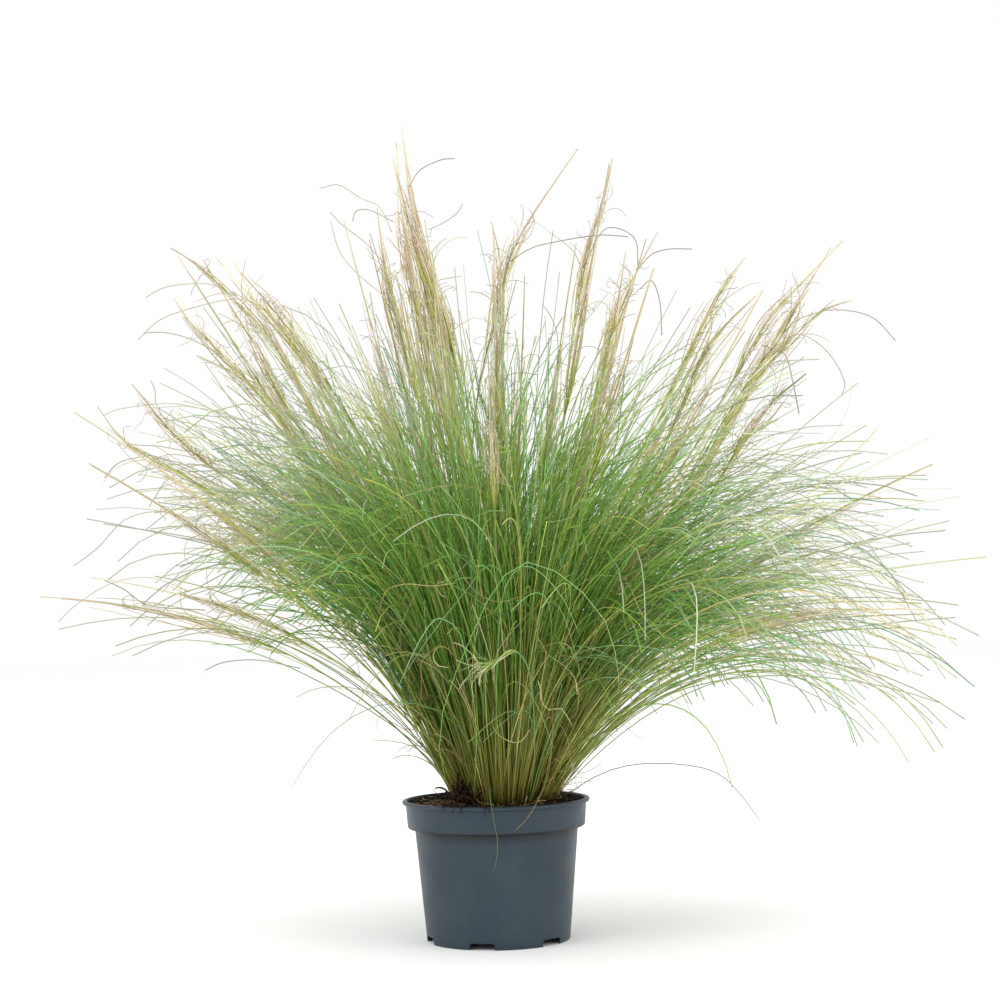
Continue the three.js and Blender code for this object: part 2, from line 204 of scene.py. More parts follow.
def strand_colour_group():
    """Four shades in turn along a strand; by its tint it is cooler or warmer, and darker or lighter."""
    inputs = {"Along": FLOAT, "Tint": FLOAT, **{shade: COLOUR for shade in SHADES}}
    group, given, result = new_group("Strand colour", inputs)
    along, tint, colour = given["Along"], given["Tint"], given["Foot"]
    for start, end, shade in ((0.0, 0.2, "Lower"), (0.2, 0.6, "Upper"), (0.45, 0.82, "Tip")):
        colour = mix_colour(group, map_range(group, along, start, end), colour, given[shade])
    cool = map_range(group, tint, 0.84, 1.0, 0.0, 0.8)
    cool = maths(group, "MULTIPLY", cool, map_range(group, along, 0.1, 0.35))
    colour = mix_colour(group, cool, colour, given["Cool"])
    colour = mix_colour(group, map_range(group, tint, 0.34, 0.0, 0.0, 0.85), colour, given["Warm"])
    draw = maths(group, "FRACT", maths(group, "MULTIPLY", tint, 17.3))
    value = map_range(group, draw, 0.0, 1.0, 0.62, 1.3)
    group.links.new(add_node(group, "HueSaturation", {"Value": value, "Color": colour})["Color"], result)
    return group


# %% The dust group
def dust_group():
    inputs = {"Position": VECTOR, "Base": COLOUR, "Dust": COLOUR, "Amount": FLOAT, "Speck Size": FLOAT}
    group, given, result = new_group("Dust", inputs)
    place = given["Position"]
    clouds = map_range(group, noise_at(group, place, 22.0, 6.0), 0.42, 0.72)
    specks = map_range(group, noise_at(group, place, given["Speck Size"], 2.0, 0.5), 0.62, 0.72)
    mask = maths(group, "MULTIPLY", maths(group, "MAXIMUM", clouds, specks), given["Amount"])
    group.links.new(mix_colour(group, mask, given["Base"], given["Dust"]), result)
    return group


STRAND_COLOUR = strand_colour_group()
DUST = dust_group()
print("shared groups:", STRAND_COLOUR.name, "and", DUST.name)


# %% [markdown]
# ## The finishes
#
# A material keeps its own Principled shader and feeds it from the shared groups. Strands read two
# attributes that are stored on their points: how far along the strand a point lies, and a tint that is
# drawn once for each strand.


# %% Helpers for materials
def new_material(name, roughness, specular=0.5):
    """A material, its node tree and the inputs of its shader."""
    material = bpy.data.materials.new(name)
    material.use_nodes = True
    shader = material.node_tree.nodes["Principled BSDF"].inputs
    shader["Roughness"].default_value = roughness
    shader["Specular IOR Level"].default_value = specular
    return material, material.node_tree, shader


def dusted(tree, place, base, dust, amount, speck_size):
    inputs = {"Position": place, "Base": base, "Dust": dust, "Amount": amount, "Speck Size": speck_size}
    return add_node(tree, "Group", inputs, node_tree=DUST)["Colour"]


def add_bump(tree, shader, height, strength, distance):
    bump = add_node(tree, "Bump", {"Height": height, "Strength": strength, "Distance": distance})
    tree.links.new(bump["Normal"], shader["Normal"])


# %% Strand materials
def strand_material(name, *swatches):
    """A finish for blades, culms or awns, from its foot, lower, upper, tip, cool and warm swatches."""
    material, tree, shader = new_material(name, 0.5, 0.35)
    inputs = {shade: srgb(*swatch) for shade, swatch in zip(SHADES, swatches)}
    for label in ("Along", "Tint"):
        inputs[label] = add_node(tree, "Attribute", {}, attribute_name=label.lower())["Fac"]
    colour = add_node(tree, "Group", inputs, node_tree=STRAND_COLOUR)["Colour"]
    tree.links.new(colour, shader["Base Color"])
    return material


LEAF_GREEN = strand_material("leaf_green", (150, 140, 62), (90, 128, 28), (136, 190, 80), (176, 182, 156),
                             (116, 184, 132), (204, 202, 104))
LEAF_PALE = strand_material("leaf_pale", (150, 140, 62), (94, 132, 30), (122, 172, 78), (206, 209, 190),
                            (136, 196, 152), (210, 208, 132))
CULM_STRAW = strand_material("culm_straw", (146, 138, 62), (154, 172, 66), (190, 192, 106),
                             (200, 192, 154), (160, 184, 84), (206, 184, 120))
AWN_SILK = strand_material("awn_silk", (168, 190, 64), (190, 202, 88), (214, 201, 144), (226, 208, 182),
                           (202, 200, 150), (230, 203, 172))
AWN_HAIR = strand_material("awn_hair", (190, 188, 150), (190, 188, 160), (182, 180, 160), (172, 170, 154),
                           (172, 186, 150), (200, 186, 160))
BENT_SILK = strand_material("young_silk", (126, 160, 62), (150, 180, 82), (176, 192, 112),
                            (222, 222, 186), (164, 190, 104), (196, 194, 120))
DRY_STRAW = strand_material("dry_straw", (112, 88, 44), (160, 144, 74), (194, 182, 108), (210, 196, 146),
                            (190, 190, 114), (156, 128, 68))
GLAUCOUS = strand_material("leaf_blue_green", (124, 146, 60), (108, 164, 74), (116, 180, 102),
                           (150, 184, 122), (104, 176, 126), (166, 186, 84))
DULL_GREEN = strand_material("dull_blade", (104, 124, 60), (96, 132, 76), (98, 126, 88), (122, 120, 92),
                             (104, 130, 100), (140, 136, 84))


# %% Pot and soil materials
def pot_material():
    """Blue-grey plastic, a little dusty, with painted shade darkening the body just under the collar."""
    material, tree, shader = new_material("pot_plastic", 0.42, 0.38)
    place = add_node(tree, "TexCoord", {})["Object"]
    drift = map_range(tree, noise_at(tree, place, 9.0, 3.0), 0.35, 0.65)
    base = mix_colour(tree, drift, srgb(35, 50, 61), srgb(40, 56, 67))
    dusty = dusted(tree, place, base, srgb(96, 104, 108), 0.12, 1500.0)
    height = add_node(tree, "SeparateXYZ", {0: place})["Z"]
    # Painted shade: the body turns darker towards the underside of the collar, deepest in its corner,
    # standing for the collar's shadow.
    collar_shade = map_range(tree, height, LEDGE_Z - 9 * MM, LEDGE_Z - 2 * MM, 0.0, 0.7)
    corner = map_range(tree, height, LEDGE_Z - 2.5 * MM, LEDGE_Z - 0.5 * MM, 0.0, 0.3)
    below = map_range(tree, height, LEDGE_Z + 2.2 * MM, LEDGE_Z + 0.6 * MM)
    painted_shade = maths(tree, "MULTIPLY", maths(tree, "ADD", collar_shade, corner), below)
    # A near-black blue-grey is mixed in there as the painted shade under the collar.
    tree.links.new(mix_colour(tree, painted_shade, dusty, srgb(14, 18, 22)), shader["Base Color"])
    smears = noise_at(tree, place, 34.0, 5.0)
    tree.links.new(map_range(tree, smears, 0.3, 0.7, 0.36, 0.52), shader["Roughness"])
    add_bump(tree, shader, noise_at(tree, place, 2600.0, 2.0), 0.12, 0.3 * MM)
    return material


def soil_material(name, dark, light, pale):
    """Lumps between a dark and a light swatch, with pale specks."""
    material, tree, shader = new_material(name, 0.95, 0.2)
    place = add_node(tree, "TexCoord", {})["Object"]
    lumps = map_range(tree, noise_at(tree, place, 160.0, 8.0, 0.7), 0.35, 0.68)
    base = mix_colour(tree, lumps, srgb(*dark), srgb(*light))
    tree.links.new(dusted(tree, place, base, srgb(*pale), 0.35, 700.0), shader["Base Color"])
    add_bump(tree, shader, noise_at(tree, place, 520.0, 8.0, 0.7), 0.8, 2 * MM)
    return material


POT_PLASTIC = pot_material()
COMPOST = soil_material("compost", (17, 12, 9), (44, 31, 22), (82, 66, 48))
BARK = soil_material("bark", (44, 28, 20), (92, 62, 42), (128, 100, 74))
OLD_STEM = soil_material("old_stem", (30, 19, 13), (64, 42, 28), (96, 74, 54))
MOSS = soil_material("moss", (52, 54, 34), (96, 98, 70), (176, 172, 148))
print("finishes:", len(bpy.data.materials))


# %% [markdown]
# ## The pot
#
# The real pot is injection moulded: one wall of even thickness, with a rolled lip, a collar that stands
# out so that pots nest, and feet with drain notches between them. A lathe shape like this is spun from
# its profile. Cutting the notches afterwards with rounded boxes gives their soft corners.

# %% The pot's profile
WALL = 1.3 * MM
LIP_HEIGHT = 3.6 * MM
COLLAR_TOP_RADIUS = LIP_RADIUS - 3 * MM
COLLAR_BOTTOM_RADIUS = LIP_RADIUS - 4.6 * MM
BODY_TOP_RADIUS = LIP_RADIUS - 11.2 * MM
FOOT_RADIUS = LIP_RADIUS - 20.4 * MM
BASE_RISE = 5 * MM
FEET = 6
NOTCH_ANGLE = math.radians(20)
FIRST_NOTCH = math.radians(-103)
NOTCH_HEIGHT = 6 * MM
POT_STEPS = 144


def arc_points(radius, height, size, start, end, steps):
    """Points on a round stretch of a profile about a centre at (radius, height)."""
    turns = np.radians(np.linspace(start, end, steps + 1))
    return [(radius + size * math.cos(a), height + size * math.sin(a)) for a in turns]


def wall_points(low, high, steps):
    """Points up the outside of the tapered wall."""
    heights = np.linspace(low, high, steps)
    return [(float(np.interp(z, [0, high], [FOOT_RADIUS, BODY_TOP_RADIUS])), float(z)) for z in heights]


def pot_profile():
    inside_foot = FOOT_RADIUS - WALL
    lip, neck = LIP_HEIGHT / 2, POT_HEIGHT - LIP_HEIGHT
    soft, edge = 0.5 * MM, 0.9 * MM
    return [
        (0, BASE_RISE),
        (inside_foot - 2 * soft, BASE_RISE),
        *arc_points(inside_foot - soft, BASE_RISE - soft, soft, 90, 0, 3),
        (inside_foot, soft / 2),
        (inside_foot + soft / 2, 0),
        (FOOT_RADIUS - soft / 2, 0),
        (FOOT_RADIUS, soft / 2),
        *wall_points(NOTCH_HEIGHT + 1.5 * MM, LEDGE_Z - 1.6 * MM, 12),
        *arc_points(BODY_TOP_RADIUS + 1.4 * MM, LEDGE_Z - 1.4 * MM, 1.4 * MM, 180, 90, 4),
        *arc_points(COLLAR_BOTTOM_RADIUS - 2 * MM, LEDGE_Z + 2 * MM, 2 * MM, -90, -4, 6),
        (COLLAR_TOP_RADIUS - 0.25 * MM, neck - 1.0 * MM),
        *arc_points(COLLAR_TOP_RADIUS + edge, neck - edge, edge, 180, 110, 3),
        *arc_points(LIP_RADIUS - lip, POT_HEIGHT - lip, lip, -80, 90, 9),
        *arc_points(COLLAR_TOP_RADIUS - WALL + edge, POT_HEIGHT - edge, edge, 90, 180, 4),
        (COLLAR_BOTTOM_RADIUS - WALL, LEDGE_Z + 2.4 * MM),
        (COLLAR_BOTTOM_RADIUS - 2 * MM - WALL, LEDGE_Z + WALL),
        (BODY_TOP_RADIUS - WALL, LEDGE_Z + WALL),
        (inside_foot, BASE_RISE + WALL),
        (0, BASE_RISE + WALL),
    ]


# %% Spin the pot
def spun(points, steps):
    """A closed bmesh turned from a profile of (radius, height) that starts and ends on the axis."""
    bm = bmesh.new()
    verts = [bm.verts.new((radius, 0, height)) for radius, height in points]
    edges = [bm.edges.new(pair) for pair in zip(verts, verts[1:])]
    turn = {"cent": (0, 0, 0), "axis": (0, 0, 1), "angle": FULL_TURN, "steps": steps, "use_merge": True}
    bmesh.ops.spin(bm, geom=verts + edges, **turn)
    bmesh.ops.remove_doubles(bm, verts=bm.verts, dist=1e-6)
    bmesh.ops.recalc_face_normals(bm, faces=bm.faces)
    return bm


def notch_cutters():
    """Rounded boxes, one for each gap between two feet."""
    bm = bmesh.new()
    width = 2 * FOOT_RADIUS * math.tan(NOTCH_ANGLE / 2)
    rounding = {"offset": 2.4 * MM, "segments": 5, "profile": 0.5, "affect": "EDGES", "material": -1}
    for i in range(FEET):
        box = bmesh.ops.create_cube(bm, size=1)["verts"]
        bmesh.ops.scale(bm, verts=box, vec=(26 * MM, width, 2 * NOTCH_HEIGHT))
        bmesh.ops.translate(bm, verts=box, vec=(FOOT_RADIUS, 0, 0))
        edges = [e for v in box for e in v.link_edges if e.verts[0] == v]
        along = [e for e in edges if abs(e.verts[0].co.x - e.verts[1].co.x) > 0.01]
        rounded = bmesh.ops.bevel(bm, geom=along, **rounding)["verts"]
        turn = Matrix.Rotation(FIRST_NOTCH + i * FULL_TURN / FEET, 3, "Z")
        bmesh.ops.rotate(bm, verts=rounded, cent=(0, 0, 0), matrix=turn)
    return mesh_from(bm, "notch_cutters")


def build_pot():
    body = put_in_scene("pot_blank", mesh_from(spun(pot_profile(), POT_STEPS), "pot_blank"))
    cutter = put_in_scene("notch_cutters", notch_cutters())
    cut = body.modifiers.new("notches", "BOOLEAN")
    cut.operation = "DIFFERENCE"
    cut.solver = "EXACT"
    cut.object = cutter
    bpy.context.view_layer.update()
    depsgraph = bpy.context.evaluated_depsgraph_get()
    mesh = bpy.data.meshes.new_from_object(body.evaluated_get(depsgraph))
    mesh.name = "pot"
    for part in (body, cutter):
        bpy.data.objects.remove(part)
    mesh.set_sharp_from_angle(angle=math.radians(40))
    return add_piece("nursery_pot", mesh, POT_PLASTIC, ["pot"])


report("pot", [build_pot()])

# %% [markdown]
# ## The soil
#
# Potting compost is a crumbly mix of peat, bark and fibre. Its surface is a fine disc pushed up and down
# by layered noise. Crumbs and bark chips are then scattered over it, because noise alone never gives the
# broken edge and the small shadows of real litter.

# %% The compost body
SOIL_RADIUS = LIP_RADIUS - 4.6 * MM - WALL - 0.5 * MM
SOIL_CELLS = 110


def soil_height(x, y):
    """The level of the compost at a spot: a low mound round the crown with lumps on it."""
    mound = SOIL_LEVEL - 1.4 * MM * (math.hypot(x, y) / SOIL_RADIUS) ** 2
    lumps = noise.fractal(Vector((x * 55, y * 55, 3.1)), 0.8, 2.1, 5)
    return mound + 2.2 * MM * lumps


def build_soil():
    """A square grid pulled round into a disc, with a skirt and a floor."""
    bm = bmesh.new()
    bmesh.ops.create_grid(bm, x_segments=SOIL_CELLS, y_segments=SOIL_CELLS, size=SOIL_RADIUS)
    for vert in bm.verts:
        x, y = vert.co.x / SOIL_RADIUS, vert.co.y / SOIL_RADIUS
        vert.co.x = SOIL_RADIUS * x * math.sqrt(1 - y * y / 2)
        vert.co.y = SOIL_RADIUS * y * math.sqrt(1 - x * x / 2)
        vert.co.z = soil_height(vert.co.x, vert.co.y)
    rim = [edge for edge in bm.edges if edge.is_boundary]
    for part in bmesh.ops.extrude_edge_only(bm, edges=rim)["geom"]:
        if isinstance(part, bmesh.types.BMVert):
            part.co.z = LEDGE_Z + 3 * MM
    bmesh.ops.holes_fill(bm, edges=[e for e in bm.edges if e.is_boundary], sides=0)
    bmesh.ops.recalc_face_normals(bm, faces=bm.faces)
    return add_piece("compost", mesh_from(bm, "compost"), COMPOST, ["soil"])


report("compost", [build_soil()])


# %% Crumbs and bark chips
def scatter(count, outer):
    """Random spots on the soil within a distance of the pot's axis."""
    radius = np.sqrt(rng.uniform(0, outer**2, count))
    turn = rng.uniform(0, FULL_TURN, count)
    return radius * np.cos(turn), radius * np.sin(turn)


def add_crumb(bm, spot, size, flat):
    made = bmesh.ops.create_icosphere(bm, subdivisions=1, radius=0.5)["verts"]
    for vert in made:
        vert.co *= 1 + 0.35 * noise.noise(vert.co * 3 + Vector(spot) * 900)
    turn = Matrix.Rotation(rng.uniform(0, 6.28), 3, "Z") @ Matrix.Rotation(rng.uniform(-0.5, 0.5), 3, "X")
    bmesh.ops.scale(bm, verts=made, vec=(size * rng.uniform(0.7, 1.5), size, size * flat))
    bmesh.ops.rotate(bm, verts=made, cent=(0, 0, 0), matrix=turn)
    bmesh.ops.translate(bm, verts=made, vec=spot)


def litter(name, material, sizes, flat, spots):
    """Loose bits lying on the soil, their sizes in millimetres."""
    bm = bmesh.new()
    for x, y in zip(*spots):
        size = rng.uniform(*sizes) * MM
        add_crumb(bm, (x, y, soil_height(x, y) + size * flat * 0.25), size, flat)
    return add_piece(name, mesh_from(bm, name, smooth=False), material)


crumbs = litter("compost_crumbs", COMPOST, (1.5, 4.5), 0.7, scatter(420, SOIL_RADIUS - 2 * MM))
chips = litter("bark_chips", BARK, (4, 9), 0.3, scatter(90, SOIL_RADIUS - 5 * MM))
moss_spots = (-0.052 + rng.normal(0, 0.006, 60), -0.022 + rng.normal(0, 0.009, 60))
moss = litter("moss_crumbs", MOSS, (2, 4.5), 0.5, moss_spots)
rim_spots = (rng.uniform(-0.050, -0.030, 9), rng.uniform(-0.0745, -0.066, 9))
rim_chips = litter("rim_chips", BARK, (3, 6), 0.5, rim_spots)
for vert in rim_chips.data.vertices:
    vert.co.z += 4.5 * MM
report("litter", [crumbs, chips, moss, rim_chips])

# %% [markdown]
# ## Strands
#
# Leaf blades, culms and awns are all the same kind of thing: a long thin thread that leaves its foot in
# one direction and leans over more and more. So they are made the same way. A route is worked out by
# adding up short steps whose lean grows from foot to tip, and a slim three-sided rod is laid along it.
#
# Curve objects could do this as well, but a strand's tint and its share of the way along are wanted on
# its points, so one rod is modelled with bmesh operators and its copies are laid along the routes with
# numpy.


# %% The rod that every strand is laid out from
def rod(rings):
    """Corners, rings and faces of a three-sided rod, one unit thick and cut into so many lengths."""
    bm = bmesh.new()
    lifted = Matrix.Translation((0, 0, 0.5))
    bmesh.ops.create_cone(bm, cap_ends=True, segments=3, radius1=1, radius2=1, depth=1, matrix=lifted)
    upright = [e for e in bm.edges if abs(e.verts[0].co.z - e.verts[1].co.z) > 0.5]
    bmesh.ops.subdivide_edges(bm, edges=upright, cuts=rings - 1, use_grid_fill=True)
    bmesh.ops.triangulate(bm, faces=bm.faces)
    bm.verts.index_update()
    place = np.array([v.co for v in bm.verts])
    faces = np.array([[v.index for v in f.verts] for f in bm.faces])
    bm.free()
    return place[:, :2], np.rint(place[:, 2] * rings).astype(int), faces


def unit(vectors):
    return vectors / np.maximum(np.linalg.norm(vectors, axis=-1, keepdims=True), 1e-12)


def column(value, count):
    """One row for each strand, from a single number or from one for each."""
    return np.broadcast_to(value, count)[:, None]


def turned(first, second, angle):
    """Directions turned by an angle from one towards another that is square to it."""
    return np.cos(angle)[..., None] * first + np.sin(angle)[..., None] * second


def along_headings(start, heading, length):
    """Adds up short steps along given headings, one for each ring."""
    count, rings = heading.shape[0], heading.shape[1] - 1
    steps = (heading[:, 1:] + heading[:, :-1]) / 2 * (column(length, count) / rings)[..., None]
    return start[:, None] + np.concatenate([np.zeros((count, 1, 3)), np.cumsum(steps, axis=1)], axis=1)


def arcs(start, up, out, length, lean, power, swing, hook, wave, rings):
    """Routes that leave start at one lean from up and end at another, turning towards out.

    Every argument has one row for each strand. swing turns the lean round up on the way, hook bends the
    last stretch further, and wave lets the strand wander.
    """
    count = len(start)
    share = np.linspace(0, 1, rings + 1)[None, :]
    eased = (share * share * (3 - 2 * share)) ** column(power, count)
    angle = column(lean[0], count) + (column(lean[1], count) - column(lean[0], count)) * eased
    angle = angle + 1.25 * column(hook, count) * share**4
    phase = rng.uniform(0, FULL_TURN, (count, 1))
    angle = angle + column(wave, count) * share * np.sin(phase + 7 * share)
    outward = turned(out[:, None], np.cross(up, out)[:, None], column(swing, count) * share)
    return along_headings(start, turned(up[:, None], outward, angle), length)


def curls(start, heading, length, bend, waves, rings=14):
    """Routes that wander: their direction swings to and fro about two axes, bend radians at most."""
    count = len(start)
    first = unit(np.cross(heading, rng.normal(0, 1, (count, 3))))
    share = np.linspace(0, 1, rings + 1)[None, :]
    pointing = heading[:, None]
    for axis in (first, np.cross(heading, first)):
        phase = rng.uniform(0, FULL_TURN, (count, 1))
        rate = rng.uniform(0.5, 1, (count, 1)) * waves * FULL_TURN
        tilt = column(bend, count) * (np.sin(phase + rate * share) - np.sin(phase)) * (0.25 + share)
        pointing = turned(pointing, axis[:, None], tilt)
    return along_headings(start, unit(pointing), length)


# %% Lay rods along routes
BOX_MARGIN = 1.5 * MM
RIM_CLEARANCE = 6 * MM


def carried_frame(routes):
    """Two directions across each route that are carried along it without a twist."""
    tangent = unit(np.gradient(routes, axis=1))
    across = unit(np.cross(tangent[:, 0], [0.31, 0.95, 0.07]))
    sides = [across]
    for ring in range(1, routes.shape[1]):
        ahead = tangent[:, ring]
        across = unit(across - ahead * np.sum(across * ahead, axis=1, keepdims=True))
        sides.append(across)
    side = np.stack(sides, axis=1)
    return side, np.cross(tangent, side)


def taper(rings, girth):
    """The half thickness at each ring of a strand, from millimetres at its foot, middle and tip."""
    foot, middle, tip = (value * MM for value in girth)
    share = np.linspace(0, 1, rings + 1)
    return np.interp(share, [0, 0.6, 0.93, 1], [foot, middle, (middle + tip) / 2, tip])[None]


def strands(routes, girth, tint, aged=1.0, late=1.0):
    """Points, faces, shares along and tints of rods that are laid along routes.

    With aged below 1 a strand's colour never reaches that of a tip; with late above 1 it turns later.
    """
    count, rings = routes.shape[0], routes.shape[1] - 1
    corner, ring, faces = rod(rings)
    side, normal = carried_frame(routes)
    points = (
        routes[:, ring]
        + (girth[:, ring] * corner[:, 0])[..., None] * side[:, ring]
        + (girth[:, ring] * corner[:, 1])[..., None] * normal[:, ring]
    )
    along = (ring[None] / rings) ** column(late, count) * column(aged, count)
    shifted = faces[None] + (np.arange(count) * len(ring))[:, None, None]
    return points.reshape(-1, 3), shifted.reshape(-1, 3), along.ravel(), np.repeat(tint, len(ring))


def laid(routes, girth):
    """Plain strands along routes, each with a tint of its own."""
    return strands(routes, taper(routes.shape[1] - 1, girth), rng.random(len(routes)))


def strand_piece(name, bundles, material, nodes=()):
    """One piece from several sets of strands."""
    firsts = np.cumsum([0] + [len(points) for points, *_ in bundles])
    faces = np.concatenate([bundle[1] + first for bundle, first in zip(bundles, firsts)])
    points, along, tint = (np.concatenate([bundle[k] for bundle in bundles]) for k in (0, 2, 3))
    mesh = bpy.data.meshes.new(name)
    mesh.from_pydata(points, [], faces)
    mesh.validate()
    for label, values in (("along", along), ("tint", tint)):
        layer = mesh.attributes.new(label, "FLOAT", "POINT")
        layer.data.foreach_set("value", values.astype(np.float32))
    mesh.shade_smooth()
    return add_piece(name, mesh, material, nodes)


def above_rim(routes):
    """The routes that stay above the pot's rim once they have left the crown."""
    return routes[routes[:, 3:, 2].min(axis=1) > POT_HEIGHT + RIM_CLEARANCE]


def keep_inside(routes):
    """Draws a strand in towards the crown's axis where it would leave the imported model's box."""
    low, high = CAD_BOX[0] + BOX_MARGIN - CROWN_TOP, CAD_BOX[1] - BOX_MARGIN - CROWN_TOP
    away = routes - CROWN_TOP
    furthest = np.maximum(away.max(axis=1) / high, away.min(axis=1) / low)
    over = np.maximum(furthest[:, :2].max(axis=1), 1.0)
    tall = np.maximum(away[:, :, 2].max(axis=1) / high[2], 1.0)
    shrink = np.stack([1 / over, 1 / over, 1 / tall], axis=-1)
    return CROWN_TOP + away * shrink[:, None]


# %% [markdown]
# ## The leaf tufts
#
# A feather grass has thread-like leaves: the blade is rolled in on itself, under a millimetre across and
# up to half a metre long. They stand almost upright in the middle of the clump and arch over on its
# outside, and many end in a hook. The leaves come up in small shoots, ten together, and it is the dark
# gaps between shoots that make the foot of the clump look deep. So shoots are placed first and blades are
# drawn round each of them.

# %% Shoots and blades
TUFTS = 12
TUFT_PITCH = FULL_TURN / TUFTS
SHOOTS_PER_TUFT = 26
BLADES_PER_SHOOT = 10
BLADE_RINGS = 17
BLADE_GIRTH = (0.44, 0.58, 0.54)
HOOKED_SHARE = 0.72
LONG_SHARE = 0.38
FALLEN_SHARE = 0.09


def droop(azimuth):
    """How strongly the clump hangs over on this side: the +X side hangs lowest."""
    return np.maximum(0, np.cos(azimuth)) ** 0.8


def front(azimuth):
    """1 where a blade leans straight to the front, 0 at the sides and the back."""
    return np.maximum(0, -np.sin(azimuth)) ** 2


def outward(azimuth):
    """Level directions away from the crown's axis."""
    return np.stack([np.cos(azimuth), np.sin(azimuth), np.zeros(len(azimuth))], axis=-1)


def from_crown(azimuth, place):
    """Feet and outward directions; place runs from 0 on the crown's axis to 1 at its edge."""
    out = outward(azimuth)
    return place[:, None] * CROWN_RADIUS * out + CROWN_FLOOR, UP, out


def blade_routes(azimuth, place, bend, length):
    """Routes of leaf blades that bend over by a given angle, some with a hooked end."""
    count = len(azimuth)
    first = np.radians(24) * place**0.9 * (1 + 0.24 * droop(azimuth))
    first = first + rng.normal(0, np.radians(2), count)
    hook = np.radians(rng.uniform(10, 110, count)) * (1.25 - 0.5 * place)
    hook = hook * (rng.random(count) < HOOKED_SHARE) * (1 - 0.6 * front(azimuth))
    hook = np.clip(hook, 0, np.maximum(np.radians(125 + 20 * droop(azimuth)) - first - bend, 0))
    wave = np.radians(rng.normal(0, 8, count))
    swing = rng.normal(0, 0.55, count)
    power = rng.uniform(1.2, 2.0, count) - 0.1 * droop(azimuth) - 0.5 * place
    feet, lean = from_crown(azimuth, place), (first, first + bend)
    return keep_inside(arcs(*feet, length, lean, power, swing, hook, wave, BLADE_RINGS))


def blade_lengths(place):
    """Most blades are of middling length, longer towards the clump's edge; some are much longer."""
    count = len(place)
    usual = 0.30 + 0.17 * rng.random(count) + 0.07 * place
    longer = rng.uniform(0.40, 0.48, count) + 0.05 * place
    return np.where(rng.random(count) < LONG_SHARE, longer, usual)


def shoot_blades(turn, place):
    """The blades of shoots at given azimuths and places: azimuth, place, bend and length of each."""
    shoots = len(turn)
    lift = 12 + 5 * droop(math.pi - turn) + 33 * front(turn)
    bend = np.radians(42 - lift * place + 27 * droop(turn) * place)
    bend = bend + rng.normal(0, np.radians(6), shoots)
    bend = bend + np.radians(25) * (rng.random(shoots) < FALLEN_SHARE)
    length = blade_lengths(place)
    azimuth, place, bend, length = (np.repeat(v, BLADES_PER_SHOOT) for v in (turn, place, bend, length))
    count = len(azimuth)
    azimuth = azimuth + rng.normal(0, 0.05, count) / np.maximum(place, 0.2)
    place = np.clip(place + rng.normal(0, 0.045, count), 0.01, 1)
    bend = np.maximum(bend + rng.normal(0, np.radians(9), count), np.radians(10))
    return azimuth, place, bend, length * rng.uniform(0.72, 1.06, count)


def blades(azimuth, place, bend, length):
    """Strands of leaf blades: the long ones bleach most, those at the front and in the middle least."""
    routes = blade_routes(azimuth, place, bend, length)
    slim = rng.uniform(0.7, 1.2, len(routes)) * (1 - 0.26 * front(azimuth))
    aged = 0.4 + 3.6 * (length - 0.27) + 0.12 * droop(azimuth) - 0.18 * front(azimuth)
    aged = aged - 0.13 * (1 - place) - 0.2 * np.sin(azimuth) ** 2
    aged = aged - 0.3 * droop(azimuth) * np.maximum(0, -np.sin(azimuth))
    aged = np.clip(aged + rng.normal(0, 0.1, len(routes)), 0.45, 1.15)
    girth = taper(BLADE_RINGS, BLADE_GIRTH) * slim[:, None]
    return strands(routes, girth, rng.random(len(routes)), aged, 1 + 0.5 * droop(azimuth))


def build_tuft(index):
    centre = (index + 0.5) * TUFT_PITCH
    shoots = round(SHOOTS_PER_TUFT * (1 - 0.28 * droop(centre) - 0.18 * droop(math.pi - centre)))
    turn = centre + rng.uniform(-0.5, 0.5, shoots) * TUFT_PITCH
    place = rng.uniform(0.02, 1, shoots) ** 0.72
    bundles = [blades(*shoot_blades(turn, place))]
    finish = LEAF_PALE if droop(centre - 0.35) > 0.7 else LEAF_GREEN
    return strand_piece(f"leaves_{index + 1:02d}", bundles, finish, [f"tuft_{index + 1:02d}"])


report("leaf", [build_tuft(i) for i in range(TUFTS)])

# %% The middle tuft
MIDDLE_SHOOTS = 10
turn = rng.uniform(0, FULL_TURN, MIDDLE_SHOOTS)
place = rng.uniform(0.01, 0.2, MIDDLE_SHOOTS)
middle = [blades(*shoot_blades(turn, place))]
report("middle tuft", [strand_piece("leaves_middle", middle, LEAF_GREEN, ["tuft_middle"])])


# %% Long outer blades
def long_blades(count, towards, spread, lean, bend, lengths, powers=(0.7, 1.1), ages=(0.85, 1.2)):
    """Blades that reach the clump's furthest edge in wide arches, all to one side."""
    azimuth = rng.normal(towards, spread, count)
    place = rng.uniform(0.5, 1, count)
    first = np.radians(rng.normal(*lean, count))
    last = first + np.radians(rng.normal(*bend, count))
    length = rng.uniform(*lengths, count)
    wave = np.radians(rng.normal(0, 5, count))
    power = rng.uniform(*powers, count)
    hook = np.radians(rng.uniform(0, 40, count))
    swing = rng.normal(0, 0.35, count)
    feet = from_crown(azimuth, place)
    routes = keep_inside(arcs(*feet, length, (first, last), power, swing, hook, wave, BLADE_RINGS))
    return strands(routes, taper(BLADE_RINGS, BLADE_GIRTH), rng.random(count), rng.uniform(*ages, count))


